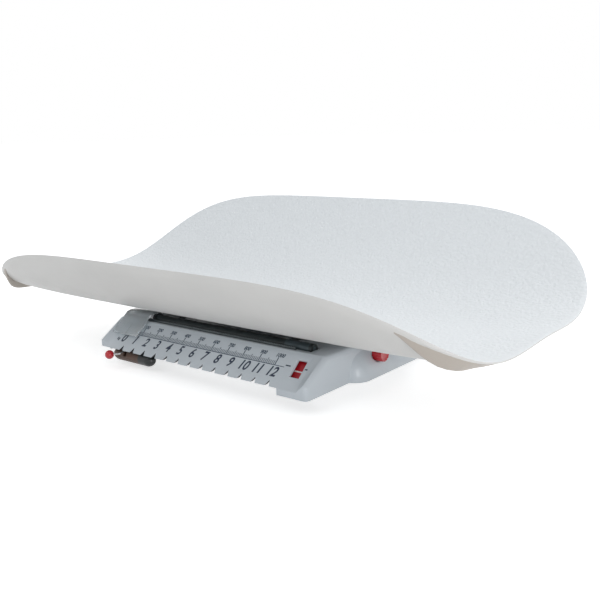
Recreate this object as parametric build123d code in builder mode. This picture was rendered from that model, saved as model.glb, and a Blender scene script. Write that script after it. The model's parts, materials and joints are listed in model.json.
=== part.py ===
from build123d import *
import os
from math import atan2, cos, degrees, pi, radians, sin, sqrt, tan

# A mechanical baby scale: a trough tray on a platform, two platform levers and a link inside a low
# housing, and a weigh beam with a notched kilogram rail and a plain gram rod, each with its poise.
# Millimetres. +X runs along the tray to the right, +Y to the back, +Z up. The origin is on the table
# under the middle of the tray.

# Tray
tray_half_length = 277.0
tray_half_width = 149.0
front_plan_exponent = 5.0
back_plan_exponent = 4.7
tray_sheet = 3.0
tray_end_sheet = 1.4
tray_taper_start = 236.0
tray_floor = 53.0
front_rim_height = 111.0
back_rim_height = 142.0
front_wall_power = 4.5
back_wall_power = 2.95
end_rise = 11.0
end_rise_power = 6
lip_faded_angle = 50.0
lip_corner_angle = 40.0
lip_middle_angle = 30.0
tray_trim = 3.0
tray_stations = [0, 90, 150, 190, 220, 245, 265, 282]
strip_steps = 11
slope_probe = 0.5
outline_steps = 64
lip_steps = 20
lip_skin = 0.4
lip_root_top = 0.6
lip_root_bottom = 1.3
lip_foot = 2.2
lip_flank = 2.5
tray_boss_radius = 12.0
tray_boss_sink = 0.4
tray_boss_bottom = 48.0
pad_radius = 9.0
pad_pin_radius = 3.0
pad_pin_height = 1.8
pad_x = 74.0
pad_y = 34.0

# How deep the tray's end lip is and how far in from the edge: where it has faded out, at the
# corners and at the middle of the ends
lip_drop = (2.0, 10.5, 4.8)
lip_inset = (2.0, 9.0, 13.0)

# Housing and scale panel
skirt_bottom = 12.0
housing_left = -119.0
housing_right = 131.7
housing_front = -107.0
housing_back = 96.0
wall = 2.5
panel_angle = 41.85
panel_length = 35.4
front_lip_height = 5.6
back_round = 12.0
end_round = 4.0
round_steps = 3
lip_start_x = 101.5
lobe_reach = 10.3
lobe_half_depth = 52.0
lobe_corner = 16.0
lobe_shoulder = 26.0
lobe_shoulder_inset = 2.5
lobe_top_inset = 16.0
lobe_top_drop = 2.2
lobe_root = 60.0
open_below = 5.0
cheek_width = 11.0
cheek_rise = 6.2
slot_front = -78.0
slot_back = -62.0
slot_left = -115.8
slot_step_x = 98.0
slot_step_y = -75.6
slot_right = 112.0
slot_depth = 6.8
poise_bay_back = -96.0
pillar_clearance = 3.0
cover_screw_depth = 9.0

# Kilogram scale: notches in the housing edge and in the beam's rail
notch_pitch = 15.0
notch_count = 13
zero_notch_x = -88.6
edge_notch_width = 4.4
edge_notch_depth = 3.6
rail_notch_width = 4.4
rail_notch_depth = 2.6

# Gram scale
gram_zero_x = -92.8
gram_travel = 181.0
gram_divisions = 100

# Beam and its bearings
fulcrum_x = -92.0
load_arm = 14.5
beam_knife_height = 30.0
load_knife_height = 29.85
beam_knife_front = -83.6
beam_knife_back = -62.5
load_knife_back = -59.0
knife_end_gap = 0.4
cheek_thickness = 2.0
cheek_top = 34.0
bracket_half = 8.0
bearing_half = 3.0
bearing_depth = 2.0
beam_swing = 0.7
bar_front = -76.0
bar_thickness = 4.0
bar_bottom = 20.0
bar_height = 14.0
bar_tail_start = 111.0
bar_tail_height = 8.0
bar_left = -111.5
bar_right = 124.0
bracket_thickness = 3.0
rail_front = -95.0
rail_depth = 9.0
rail_top = 21.6
rail_thickness = 1.5
rail_flange_height = 3.5
rail_guide_gap = 0.3
bracket_rise = 3.0
rod_y = -69.5
rod_z = 41.5
rod_radius = 4.5
rod_black_end = 83.0
rod_end = 108.0
spigot_radius = 2.0
rack_front = -77.4
rack_thickness = 1.4
rack_top = 43.2
rack_height = 15.2
rack_right = 97.5
rack_groove_width = 0.7
rack_groove_depth = 0.9

# Running and seating clearances, and how far a cut runs past a face
overcut = 1.0
running_fit = 0.08
guide_gap = 0.2
knife_gap = 0.15
panel_swing_gap = 2.5

# Kilogram poise
poise_radius = 6.0
poise_y = -97.0
poise_z = 10.4
poise_left = -108.0
poise_split = -70.0
poise_right = -54.0
poise_nose_radius = 3.0
poise_nose_length = 8.0
poise_cap_round = 7.0
poise_cap_end_radius = 2.0
poise_flat_z = 15.4
carriage_left = -100.0
carriage_right = -76.0
carriage_front = -99.0
carriage_roof_inset = 2.0
carriage_wall = 1.5
catch_wire_radius = 0.8
catch_eye_radius = 1.3
catch_pin_radius = 0.6
catch_pin_half = 5.0
catch_eye_half = 1.6
catch_pivot_y = -87.4
catch_pivot_z = 16.7
catch_slot_width = 3.6
catch_root_gap = 0.5
catch_wire_sink = 0.2
catch_wire_lean = 0.6
catch_tooth_height = 1.2
catch_tooth_root = 1.3
catch_tooth_tip = 0.5
catch_bend_y = -108.0
catch_bend_z = 14.4
catch_bend_radius = 3.0
catch_ball_radius = 4.2
catch_ball_x = -97.0
catch_ball_y = -113.5
catch_ball_z = 13.7
catch_groove_floor = 10.8

# Gram poise
gram_poise_length = 34.0
core_radius = 5.6
cover_sheet = 1.1
cover_start = 15.5
cover_tongue_top = 40.0
cover_back_drop = 2.3
cover_ease = 0.5
end_bush_length = 2.5
index_width = 0.6
index_length = 14.0
index_sheet = 0.3

# Indicator
window_left = 107.2
window_right = 116.8
window_low = 12.4
window_high = 28.5
indicator_left = 105.5
indicator_right = 119.0
indicator_low = 13.5
indicator_high = 33.0
indicator_sheet = 1.0
indicator_line_width = 1.3
indicator_line_centre = 20.4
indicator_line_sheet = 0.4
panel_depth = 4.7
arm_depth = 8.0

# Platform levers
knife_height = 20.0
long_fulcrum_x = 88.0
long_load_x = 76.0
short_fulcrum_x = -76.0
short_load_x = -64.0
shackle_x = 6.0
shackle_y = -2.0
shackle_sheet = 2.0
shackle_bottom = 14.3
shackle_wall = 2.5
shackle_window = 7.2
shackle_half = 5.0
shackle_side = 2.0
tongue_gap = 5.0
cross_offset = 8.0
lever_nose = 4.0
lever_heel = 4.0
lever_arm_y = 45.0
lever_arm_width = 5.0
lever_bottom = 15.2
lever_top = 24.2
lever_tail_x = 118.0
nose_bar_y = -55.0
cross_bar_width = 8.0
knife_width = 3.6
knife_depth = 3.2
knife_shoulder = 2.4
vee_half_angle = 50.0
bearing_wall = 1.0
link_y = -61.5
link_thickness = 2.0
link_low = 20.0
fulcrum_knife_reach = 2.8
load_knife_reach = 3.8
post_half = 5.3
post_wall = 2.5
post_gap = 0.5
bearing_skirt = 2.65
saddle_half = 4.5

# Platform
platform_bottom = 43.7
platform_thickness = 2.3
platform_half_length = 86.0
platform_half_width = 56.0
pillar_length = 6.0
pillar_width = 2.8
pillar_y = 49.6
pillar_foot_z = 24.0
platform_corner = 8.0

# Bottom plate, feet and fasteners
plate_thickness = 1.5
plate_gap = 0.3
plate_front = -83.0
foot_x = 92.0
foot_y = 56.0
foot_radius = 10.0
foot_top_radius = 8.0
foot_screw_radius = 2.0
foot_head_radius = 4.0
foot_head_recess = 3.0
foot_head_height = 1.6
boss_places = [(-45.0, -61.5), (55.0, -61.5), (-85.0, 80.0), (98.0, 80.0)]
boss_radius = 3.3
cover_screw_radius = 1.5
cover_head_radius = 3.0
cover_head_height = 1.8

# Zero adjustment
zero_y = -20.0
zero_z = 31.5
knob_radius = 6.7
knob_length = 9.0
well_floor = 136.3
well_radius = 7.6
bush_radius = 4.0
bush_length = 7.0
bush_collar = 1.5
knob_dish_radius = 20.0
knob_dish_depth = 0.8
knob_start = 137.1
knob_flutes = 14
flute_radius = 0.7
spindle_radius = 2.0
spindle_start = 96.0
zero_cheek_left = 97.0
zero_cheek_right = 121.0
zero_cheek_thickness = 2.0
nut_centre = 110.0
nut_length = 8.0
nut_side = 10.0
nut_bottom = 25.0
spring_width = 6.0
spring_sheet = 0.6

# Beam stop and balance weight
stop_x = 117.0
stop_width = 6.0
buffer_sheet = 1.0
stop_gap = 2.5
stop_sheet = 2.0
balance_y = -65.0
balance_z = 28.0
balance_stud_radius = 2.0
balance_stud_left = 66.0
balance_radius = 5.0
balance_length = 12.0
balance_left = 76.0
balance_chamfer = 0.8
locknut_length = 3.0
locknut_across = 7.0

# Values worked out from those above
panel_foot_z = skirt_bottom + front_lip_height
panel_run = panel_length * cos(radians(panel_angle))
panel_top_y = housing_front + panel_run
housing_top = panel_foot_z + panel_length * sin(radians(panel_angle))
lobe_crown = housing_top - lobe_top_drop
housing_middle = (housing_left + housing_right) / 2
housing_length = housing_right - housing_left
plate_bottom = skirt_bottom + plate_gap
plate_top = plate_bottom + plate_thickness
bar_back = bar_front + bar_thickness
bar_top = bar_bottom + bar_height
rail_back = rail_front + rail_depth
rail_bottom = rail_top - rail_flange_height
load_x = fulcrum_x - load_arm
platform_top = platform_bottom + platform_thickness
rod_left = bar_left - bracket_thickness
cover_radius = core_radius + cover_sheet
gram_poise_left = gram_zero_x - gram_poise_length / 2
gram_poise_right = gram_zero_x + gram_poise_length / 2
swing_at_stop = radians(beam_swing) * (stop_x + stop_width - fulcrum_x)
rack_pitch = gram_travel / gram_divisions
panel_plane = Plane(
    origin=(0, housing_front, panel_foot_z),
    x_dir=(1, 0, 0),
    z_dir=(0, -sin(radians(panel_angle)), cos(radians(panel_angle))),
)


def panel_point(up, out):
    """The (y, z) point that lies `up` along the panel's slope and `out` from its face."""
    slope = radians(panel_angle)
    y = housing_front + up * cos(slope) - out * sin(slope)
    z = panel_foot_z + up * sin(slope) + out * cos(slope)
    return (y, z)


def blend(ends, share):
    """The value a share of the way between the two ends of a pair."""
    return ends[0] + (ends[1] - ends[0]) * share


def eased(value, start, end):
    """A share that goes smoothly from 0 at `start` to 1 at `end`."""
    share = min(1, max(0, (value - start) / (end - start)))
    return share * share * (3 - 2 * share)


def tray_height(x, y):
    """Height of the tray's inner face."""
    across = abs(y) / tray_half_width
    rim = front_rim_height if y < 0 else back_rim_height
    power = front_wall_power if y < 0 else back_wall_power
    rise = end_rise * (abs(x) / tray_half_length) ** end_rise_power
    return tray_floor + (rim - tray_floor) * across**power + rise * (1 - min(1, across))


def tray_strip(x, depth):
    """Points of the tray's section at x, on its inner face or a depth below it."""
    points = []
    for i in range(-strip_steps, strip_steps + 1):
        y = (tray_half_width + tray_trim) * i / strip_steps
        slope = (tray_height(x, y + slope_probe) - tray_height(x, y - slope_probe)) / (2 * slope_probe)
        length = sqrt(1 + slope**2)
        points.append((y + depth * slope / length, tray_height(x, y) - depth / length))
    return points


def sheet_at(x):
    """Thickness of the tray's sheet, which tapers towards the ends."""
    return blend((tray_sheet, tray_end_sheet), eased(abs(x), tray_taper_start, tray_half_length))


def plan_point(angle):
    """A point of the tray's plan outline: half a superellipse in front and half behind."""
    exponent = front_plan_exponent if sin(angle) < 0 else back_plan_exponent
    c = abs(cos(angle))
    s = abs(sin(angle))
    reach = (c**exponent + s**exponent) ** (-1 / exponent)
    return Vector(tray_half_length * reach * cos(angle), tray_half_width * reach * sin(angle))


def along_lip(sizes, angle):
    """The lip's size at a plan angle, from its faded, corner and middle sizes."""
    off_axis = degrees(atan2(abs(sin(angle)), abs(cos(angle))))
    full = blend(sizes[1:], eased(off_axis, lip_corner_angle, lip_middle_angle))
    return blend((sizes[0], full), eased(off_axis, lip_faded_angle, lip_corner_angle))


def lip_section(angle):
    """The lip's section under the tray's edge at a plan angle, as corners in space."""
    edge = plan_point(angle)
    drop = along_lip(lip_drop, angle)
    inset = along_lip(lip_inset, angle)
    root = inset + lip_foot + lip_flank
    shape = [
        (lip_skin, lip_root_top),
        (lip_skin, lip_root_bottom),
        (inset, drop),
        (inset + lip_foot, drop),
        (root, lip_root_bottom),
        (root, lip_root_top),
    ]
    corners = []
    for inward, down in shape:
        x = edge.X - inward
        corners.append(Vector(x, edge.Y, tray_height(x, edge.Y) - down))
    return corners


def lobe_section(height, inset):
    """Plan of both side lobes at a height: (half depth, reach past the housing's side, corner)."""
    if height <= lobe_shoulder:
        share = (height - skirt_bottom) / (lobe_shoulder - skirt_bottom)
        pull = lobe_shoulder_inset * max(0, share)
    else:
        pull = lobe_top_inset
    return (lobe_half_depth - pull / 2 - inset, lobe_reach - pull - inset, lobe_corner - inset)


def housing_section(x, inset, cheek, floor):
    """The housing's section across X, drawn in by inset, with cheek of the end cheek's rise."""
    slope = radians(panel_angle)
    crown = housing_top - inset
    foot_z = panel_foot_z - inset * (1 - sin(slope)) / cos(slope) + cheek * cheek_rise
    top_y = panel_top_y + inset * (1 - cos(slope)) / sin(slope)
    front = [(housing_front + inset, floor), (housing_front + inset, foot_z), (top_y, crown)]
    with BuildSketch(Plane.YZ.offset(x)) as section:
        with BuildLine():
            Polyline(*front, (housing_back - back_round, crown))
            RadiusArc(
                (housing_back - back_round, crown),
                (housing_back - inset, housing_top - back_round),
                back_round - inset,
            )
            Polyline(
                (housing_back - inset, housing_top - back_round),
                (housing_back - inset, floor),
                (housing_front + inset, floor),
            )
        make_face()
    return section.sketch


def housing_form(inset):
    """The housing's solid outside shape, or its inside when an inset is given."""
    sections = []
    if inset == 0:
        floor = skirt_bottom
        for step in range(round_steps + 1):
            turn = radians(90 * step / round_steps)
            pull = end_round * (1 - sin(turn))
            sections.append((end_round * (1 - cos(turn)), pull, 1))
        sections.append((cheek_width, 0, 0))
    else:
        floor = skirt_bottom - open_below
        sections.append((inset, inset, 0))
    left = [housing_section(housing_left + step, pull, rise, floor) for step, pull, rise in sections]
    right = [housing_section(housing_right - step, pull, rise, floor) for step, pull, rise in sections]
    with BuildPart() as form:
        loft(left + right[::-1], ruled=True)
        for side in [-1, 1]:
            for level in [floor, lobe_shoulder, lobe_crown - inset]:
                half_depth, reach, corner = lobe_section(max(level, skirt_bottom), inset)
                centre = housing_middle + side * (housing_length / 2 + reach - lobe_root / 2)
                with BuildSketch(Plane.XY.offset(level)):
                    with Locations((centre, 0)):
                        RectangleRounded(lobe_root, 2 * half_depth, corner)
            loft()
    return form.part


def span_box(x, y, z, mode=Mode.ADD):
    """A box in the current part, given by its (from, to) span along each axis."""
    middle = tuple((span[0] + span[1]) / 2 for span in (x, y, z))
    with Locations(middle):
        Box(x[1] - x[0], y[1] - y[0], z[1] - z[0], mode=mode)


def bar_x(radius, x, y, z, mode=Mode.ADD):
    """A round bar along X in the current part, from x[0] to x[1]."""
    with Locations(((x[0] + x[1]) / 2, y, z)):
        Cylinder(radius, x[1] - x[0], rotation=(0, 90, 0), mode=mode)


def column(radius, x, y, z, mode=Mode.ADD):
    """An upright round bar in the current part, from z[0] to z[1]."""
    with Locations((x, y, (z[0] + z[1]) / 2)):
        Cylinder(radius, z[1] - z[0], mode=mode)


def slab_x(corners, x, mode=Mode.ADD):
    """A flat slab across X in the current part, from its (y, z) corners."""
    with BuildSketch(Plane.YZ.offset(x[0])) as outline:
        with BuildLine():
            Polyline(*corners, close=True)
        make_face()
    extrude(outline.sketch, amount=x[1] - x[0], mode=mode)


def slab_y(corners, y, mode=Mode.ADD):
    """A flat slab across Y in the current part, from its (x, z) corners."""
    with BuildSketch(Plane.XZ.offset(-y[1])) as outline:
        with BuildLine():
            Polyline(*corners, close=True)
        make_face()
    extrude(outline.sketch, amount=y[1] - y[0], mode=mode)


def knife(x, edge_z, edge_up, y, mode=Mode.ADD):
    """A knife along Y in the current part, with its edge up or down at edge_z."""
    turn = 1 if edge_up else -1
    half = knife_width / 2
    shoulder_z = edge_z - turn * knife_shoulder
    back_z = edge_z - turn * knife_depth
    corners = [
        (x, edge_z),
        (x + half, shoulder_z),
        (x + half, back_z),
        (x - half, back_z),
        (x - half, shoulder_z),
    ]
    slab_y(corners, y, mode)


def vee_cut(x, apex_z, opens_up, y, depth):
    """Cuts a V groove along Y from the current part, its apex at apex_z."""
    turn = 1 if opens_up else -1
    half = depth * tan(radians(vee_half_angle))
    far_z = apex_z + turn * depth
    slab_y([(x, apex_z), (x + half, far_z), (x - half, far_z)], y, Mode.SUBTRACT)


def notch_x(number):
    """Middle of a kilogram notch."""
    return zero_notch_x + number * notch_pitch


def both_sides(span):
    """The same span of y in front of and behind the middle."""
    return [(-span[1], -span[0]), span]


os.makedirs("parts", exist_ok=True)

# The tray, with a thickened lip under its ends
with BuildPart() as lip:
    for step in range(lip_steps + 1):
        angle = radians(lip_faded_angle * (2 * step / lip_steps - 1))
        section = lip_section(angle)
        with BuildSketch(Plane.XZ.offset(-section[0].Y)):
            with BuildLine():
                Polyline(*[(corner.X, corner.Z) for corner in section], close=True)
            make_face()
    loft(ruled=True)

with BuildPart() as tray:
    for x in tray_stations:
        with BuildSketch(Plane.YZ.offset(x)):
            with BuildLine():
                inner = Spline(*tray_strip(x, 0))
                outer = Spline(*tray_strip(x, sheet_at(x)))
                Line(inner @ 0, outer @ 0)
                Line(inner @ 1, outer @ 1)
            make_face()
    loft(ruled=True)
    mirror(about=Plane.YZ)
    outline = [plan_point(2 * pi * step / outline_steps) for step in range(outline_steps)]
    with BuildSketch(Plane.XY.offset(tray_boss_bottom)):
        with BuildLine():
            Spline(*outline, periodic=True)
        make_face()
    extrude(amount=2 * back_rim_height, mode=Mode.INTERSECT)
    add(lip.part, clean=False)
    add(lip.part.mirror(Plane.YZ), clean=False)
    for x in [-pad_x, pad_x]:
        for y in [-pad_y, pad_y]:
            column(tray_boss_radius, x, y, (tray_boss_bottom, tray_floor - tray_boss_sink))
            socket = (tray_boss_bottom, tray_boss_bottom + pad_pin_height + guide_gap)
            column(pad_pin_radius + guide_gap, x, y, socket, Mode.SUBTRACT)
tray.part.label = "tray"
export_step(tray.part, "parts/tray.step")

bush_span = (well_floor - bush_length, well_floor)

# The base housing: a shell open below, with the scale panel, a slot for the gram rod, a window for
# the indicator, holes for the pillars and the knob's spindle, and a notch for each kilogram
with BuildPart() as housing_posts:
    for x, y in boss_places:
        column(boss_radius, x, y, (plate_top, housing_top - wall / 2))
    bar_x(well_radius + wall, (well_floor - wall, housing_right + lobe_reach), zero_y, zero_z)
    add(housing_form(0), mode=Mode.INTERSECT)

with BuildPart() as base_housing:
    add(housing_form(0))
    add(housing_form(wall), mode=Mode.SUBTRACT)
    add(housing_posts.part)
    for x, y in boss_places:
        column(cover_screw_radius, x, y, (plate_top, plate_top + cover_screw_depth), Mode.SUBTRACT)
    bar_x(well_radius, (well_floor, housing_right + 2 * lobe_reach), zero_y, zero_z, Mode.SUBTRACT)
    bar_x(bush_radius + bush_collar, bush_span, zero_y, zero_z)
    bar_x(bush_radius, bush_span, zero_y, zero_z, Mode.SUBTRACT)
    slab_x(
        [
            (housing_front - overcut, skirt_bottom - overcut),
            (housing_front - overcut, panel_foot_z),
            (poise_bay_back, panel_foot_z),
            (poise_bay_back, skirt_bottom - overcut),
        ],
        (housing_left - lobe_reach, lip_start_x),
        Mode.SUBTRACT,
    )
    for number in range(notch_count):
        x = notch_x(number)
        half = edge_notch_width / 2
        corners = [
            (x - half, panel_foot_z),
            (x + half, panel_foot_z),
            (x, panel_foot_z + edge_notch_depth),
        ]
        slab_y(corners, (housing_front - overcut, poise_bay_back), Mode.SUBTRACT)
    with BuildSketch(panel_plane):
        with Locations(((window_left + window_right) / 2, (window_low + window_high) / 2)):
            Rectangle(window_right - window_left, window_high - window_low)
    extrude(amount=2 * wall, both=True, mode=Mode.SUBTRACT)
    slot_z = (housing_top - slot_depth, housing_top + overcut)
    span_box((slot_left, slot_step_x), (slot_front, slot_back), slot_z, Mode.SUBTRACT)
    span_box((slot_left, slot_right), (slot_step_y, slot_back), slot_z, Mode.SUBTRACT)
    with BuildSketch(Plane.XY.offset(housing_top - 2 * wall)):
        for x in [long_load_x, short_load_x]:
            for y in [-pillar_y, pillar_y]:
                with Locations((x, y)):
                    RectangleRounded(
                        pillar_length + 2 * pillar_clearance,
                        pillar_width + 2 * pillar_clearance,
                        pillar_clearance / 2,
                    )
    extrude(amount=3 * wall, mode=Mode.SUBTRACT)
base_housing.part.label = "base_housing"
export_step(base_housing.part, "parts/base_housing.step")

# The bottom plate, with its feet and screws
plate_edge = wall + plate_gap
with BuildPart() as bottom_plate:
    with BuildSketch(Plane.XY.offset(plate_bottom)):
        plate_x = (housing_left + plate_edge, housing_right - plate_edge)
        plate_y = (plate_front, housing_back - plate_edge)
        with Locations(((plate_x[0] + plate_x[1]) / 2, (plate_y[0] + plate_y[1]) / 2)):
            Rectangle(plate_x[1] - plate_x[0], plate_y[1] - plate_y[0])
        with Locations((housing_middle, 0)):
            RectangleRounded(
                housing_length + 2 * (lobe_reach - lobe_shoulder_inset - plate_edge),
                2 * (lobe_half_depth - lobe_shoulder_inset - plate_edge),
                lobe_corner - plate_edge,
            )
    extrude(amount=plate_thickness)
    for x, y in boss_places:
        column(cover_screw_radius, x, y, (plate_bottom, plate_top), Mode.SUBTRACT)
    for x in [-foot_x, foot_x]:
        for y in [-foot_y, foot_y]:
            column(foot_screw_radius, x, y, (plate_bottom, plate_top), Mode.SUBTRACT)
bottom_plate.part.label = "bottom_plate"
export_step(bottom_plate.part, "parts/bottom_plate.step")

with BuildPart() as rubber_feet:
    for x in [-foot_x, foot_x]:
        for y in [-foot_y, foot_y]:
            with Locations((x, y, plate_bottom / 2)):
                Cone(foot_radius, foot_top_radius, plate_bottom)
            column(foot_head_radius + guide_gap, x, y, (0, foot_head_recess), Mode.SUBTRACT)
            column(foot_screw_radius, x, y, (0, plate_bottom), Mode.SUBTRACT)
rubber_feet.part.label = "rubber_feet"
export_step(rubber_feet.part, "parts/rubber_feet.step")

with BuildPart() as foot_screws:
    for x in [-foot_x, foot_x]:
        for y in [-foot_y, foot_y]:
            column(foot_head_radius, x, y, (foot_head_recess - foot_head_height, foot_head_recess))
            column(foot_screw_radius, x, y, (foot_head_recess, plate_top))
foot_screws.part.label = "foot_screws"
export_step(foot_screws.part, "parts/foot_screws.step")

with BuildPart() as cover_screws:
    for x, y in boss_places:
        column(cover_head_radius, x, y, (plate_bottom - cover_head_height, plate_bottom))
        column(cover_screw_radius, x, y, (plate_bottom, plate_top + cover_screw_depth))
cover_screws.part.label = "cover_screws"
export_step(cover_screws.part, "parts/cover_screws.step")

# The beam: a bar with an end bracket on each side, which carry the kilogram rail in front, and the
# gram rod above
with BuildPart() as beam_bar:
    tail_top = bar_bottom + bar_tail_height
    corners = [
        (bar_left, bar_bottom),
        (bar_right, bar_bottom),
        (bar_right, tail_top),
        (bar_tail_start, tail_top),
        (bar_tail_start, bar_top),
        (bar_left, bar_top),
    ]
    slab_y(corners, (bar_front, bar_back))
    knife(fulcrum_x, beam_knife_height, False, (bar_front, bar_back), Mode.SUBTRACT)
    knife(load_x, load_knife_height, True, (bar_front, bar_back), Mode.SUBTRACT)
beam_bar.part.label = "beam_bar"
export_step(beam_bar.part, "parts/beam_bar.step")

rail_holder = [
    (rail_front, rail_bottom),
    (rail_front, rail_top),
    (rail_back, rail_top + bracket_rise),
    (bar_front, bar_bottom + bar_tail_height),
    (bar_back, bar_bottom + bar_tail_height),
    (bar_back, rail_bottom),
]
with BuildPart() as left_end_bracket:
    slab_x(rail_holder, (rod_left, bar_left))
    rod_holder = [
        (bar_front, bar_bottom),
        (rod_y - rod_radius, rod_z),
        (rod_y + rod_radius, rod_z),
        (bar_back, bar_bottom),
    ]
    slab_x(rod_holder, (rod_left, bar_left))
    bar_x(rod_radius, (rod_left, bar_left), rod_y, rod_z)
    bar_x(spigot_radius, (rod_left, bar_left), rod_y, rod_z, Mode.SUBTRACT)
left_end_bracket.part.label = "left_end_bracket"
export_step(left_end_bracket.part, "parts/left_end_bracket.step")

with BuildPart() as right_end_bracket:
    slab_x(rail_holder, (bar_right, bar_right + bracket_thickness))
right_end_bracket.part.label = "right_end_bracket"
export_step(right_end_bracket.part, "parts/right_end_bracket.step")

with BuildPart() as rod_bracket:
    across = (rod_end, rod_end + bracket_thickness)
    span_box(across, (bar_back, balance_y + bracket_thickness), (bar_bottom, bar_top))
    span_box(across, (rod_y - rod_radius, rod_y + rod_radius), (bar_top, rod_z))
    bar_x(rod_radius, across, rod_y, rod_z)
    bar_x(spigot_radius, across, rod_y, rod_z, Mode.SUBTRACT)
    bar_x(balance_stud_radius, across, balance_y, balance_z, Mode.SUBTRACT)
rod_bracket.part.label = "rod_bracket"
export_step(rod_bracket.part, "parts/rod_bracket.step")

with BuildPart() as kg_rail:
    span_box((bar_left, bar_right), (rail_front, rail_back), (rail_top - rail_thickness, rail_top))
    span_box((bar_left, bar_right), (rail_front, rail_front + rail_thickness), (rail_bottom, rail_top))
    for number in range(notch_count):
        x = notch_x(number)
        half = rail_notch_width / 2
        corners = [
            (x - half, rail_bottom),
            (x + half, rail_bottom),
            (x, rail_bottom + rail_notch_depth),
        ]
        slab_y(corners, (rail_front, rail_front + rail_thickness), Mode.SUBTRACT)
kg_rail.part.label = "kg_rail"
export_step(kg_rail.part, "parts/kg_rail.step")

with BuildPart() as gram_rod:
    bar_x(rod_radius, (bar_left, rod_black_end), rod_y, rod_z)
    bar_x(spigot_radius, (rod_left, bar_left), rod_y, rod_z)
gram_rod.part.label = "gram_rod"
export_step(gram_rod.part, "parts/gram_rod.step")

with BuildPart() as gram_rod_tip:
    bar_x(rod_radius, (rod_black_end, rod_end), rod_y, rod_z)
    bar_x(spigot_radius, (rod_end, rod_end + bracket_thickness), rod_y, rod_z)
gram_rod_tip.part.label = "gram_rod_tip"
export_step(gram_rod_tip.part, "parts/gram_rod_tip.step")

with BuildPart() as gram_rack:
    rack_y = (rack_front, rack_front + rack_thickness)
    span_box((bar_left, rack_right), rack_y, (rack_top - rack_height, rack_top))
    groove_count = int((rack_right - gram_zero_x) / rack_pitch)
    knife_room = (fulcrum_x - bearing_half, fulcrum_x + bearing_half)
    room_top = beam_knife_height + knife_depth + knife_end_gap
    span_box(knife_room, rack_y, (rack_top - rack_height, room_top), Mode.SUBTRACT)
    first_groove = gram_zero_x + rack_pitch / 2
    grooves = [(first_groove + rack_pitch * step, rack_y[0], rack_top) for step in range(groove_count)]
    with Locations(*grooves):
        Box(rack_groove_width, 4 * rack_thickness, 2 * rack_groove_depth, mode=Mode.SUBTRACT)
gram_rack.part.label = "gram_rack"
export_step(gram_rack.part, "parts/gram_rack.step")

with BuildPart() as beam_knife:
    knife(fulcrum_x, beam_knife_height, False, (beam_knife_front, beam_knife_back))
beam_knife.part.label = "beam_knife"
export_step(beam_knife.part, "parts/beam_knife.step")

with BuildPart() as load_knife:
    knife(load_x, load_knife_height, True, (bar_front, load_knife_back))
load_knife.part.label = "load_knife"
export_step(load_knife.part, "parts/load_knife.step")

# The balance weight on its stud behind the beam
with BuildPart() as balance_stud:
    bar_x(balance_stud_radius, (balance_stud_left, rod_end + bracket_thickness), balance_y, balance_z)
balance_stud.part.label = "balance_stud"
export_step(balance_stud.part, "parts/balance_stud.step")

with BuildPart() as balance_weight:
    bar_x(balance_radius, (balance_left, balance_left + balance_length), balance_y, balance_z)
    chamfer(balance_weight.edges().filter_by(GeomType.CIRCLE), balance_chamfer)
    bar_x(
        balance_stud_radius,
        (balance_left, balance_left + balance_length),
        balance_y,
        balance_z,
        Mode.SUBTRACT,
    )
balance_weight.part.label = "balance_weight"
export_step(balance_weight.part, "parts/balance_weight.step")

with BuildPart() as balance_locknut:
    with BuildSketch(Plane.YZ.offset(balance_left + balance_length)):
        with Locations((balance_y, balance_z)):
            RegularPolygon(locknut_across / 2, 6, major_radius=False)
            Circle(balance_stud_radius, mode=Mode.SUBTRACT)
    extrude(amount=locknut_length)
balance_locknut.part.label = "balance_locknut"
export_step(balance_locknut.part, "parts/balance_locknut.step")

# The beam's two bearings in their bracket
cheek_spans = [
    (beam_knife_front + knife_end_gap, beam_knife_front + knife_end_gap + cheek_thickness),
    (beam_knife_back - knife_end_gap - cheek_thickness, beam_knife_back - knife_end_gap),
]
beam_apex_z = beam_knife_height - knife_gap
bearing_z = (beam_apex_z - bearing_wall - bearing_depth, beam_apex_z + bearing_depth)
with BuildPart() as beam_bracket:
    across = (fulcrum_x - bracket_half, fulcrum_x + bracket_half)
    span_box(across, (cheek_spans[0][0], cheek_spans[1][1]), (plate_top, plate_top + cheek_thickness))
    for cheek in cheek_spans:
        span_box(across, cheek, (plate_top, cheek_top))
        pocket = (fulcrum_x - bearing_half, fulcrum_x + bearing_half)
        span_box(pocket, cheek, (bearing_z[0], cheek_top), Mode.SUBTRACT)
beam_bracket.part.label = "beam_bracket"
export_step(beam_bracket.part, "parts/beam_bracket.step")

with BuildPart() as beam_bearings:
    for cheek in cheek_spans:
        span_box((fulcrum_x - bearing_half, fulcrum_x + bearing_half), cheek, bearing_z)
        vee_cut(fulcrum_x, beam_apex_z, True, cheek, bearing_depth)
beam_bearings.part.label = "beam_bearings"
export_step(beam_bearings.part, "parts/beam_bearings.step")

# The gate that stops the beam's swing, with its rubber buffers
tail_swing = swing_at_stop + guide_gap
low_face = bar_bottom - tail_swing
high_face = bar_bottom + bar_tail_height + tail_swing
stop_across = (stop_x - stop_width / 2, stop_x + stop_width / 2)
with BuildPart() as beam_stop:
    upright = (bar_back + stop_gap, bar_back + stop_gap + stop_sheet)
    span_box(stop_across, (bar_front, upright[1]), (plate_top, low_face - buffer_sheet))
    span_box(stop_across, upright, (plate_top, high_face + buffer_sheet + stop_sheet))
    lug_z = (high_face + buffer_sheet, high_face + buffer_sheet + stop_sheet)
    span_box(stop_across, (bar_front, upright[1]), lug_z)
beam_stop.part.label = "beam_stop"
export_step(beam_stop.part, "parts/beam_stop.step")

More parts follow.
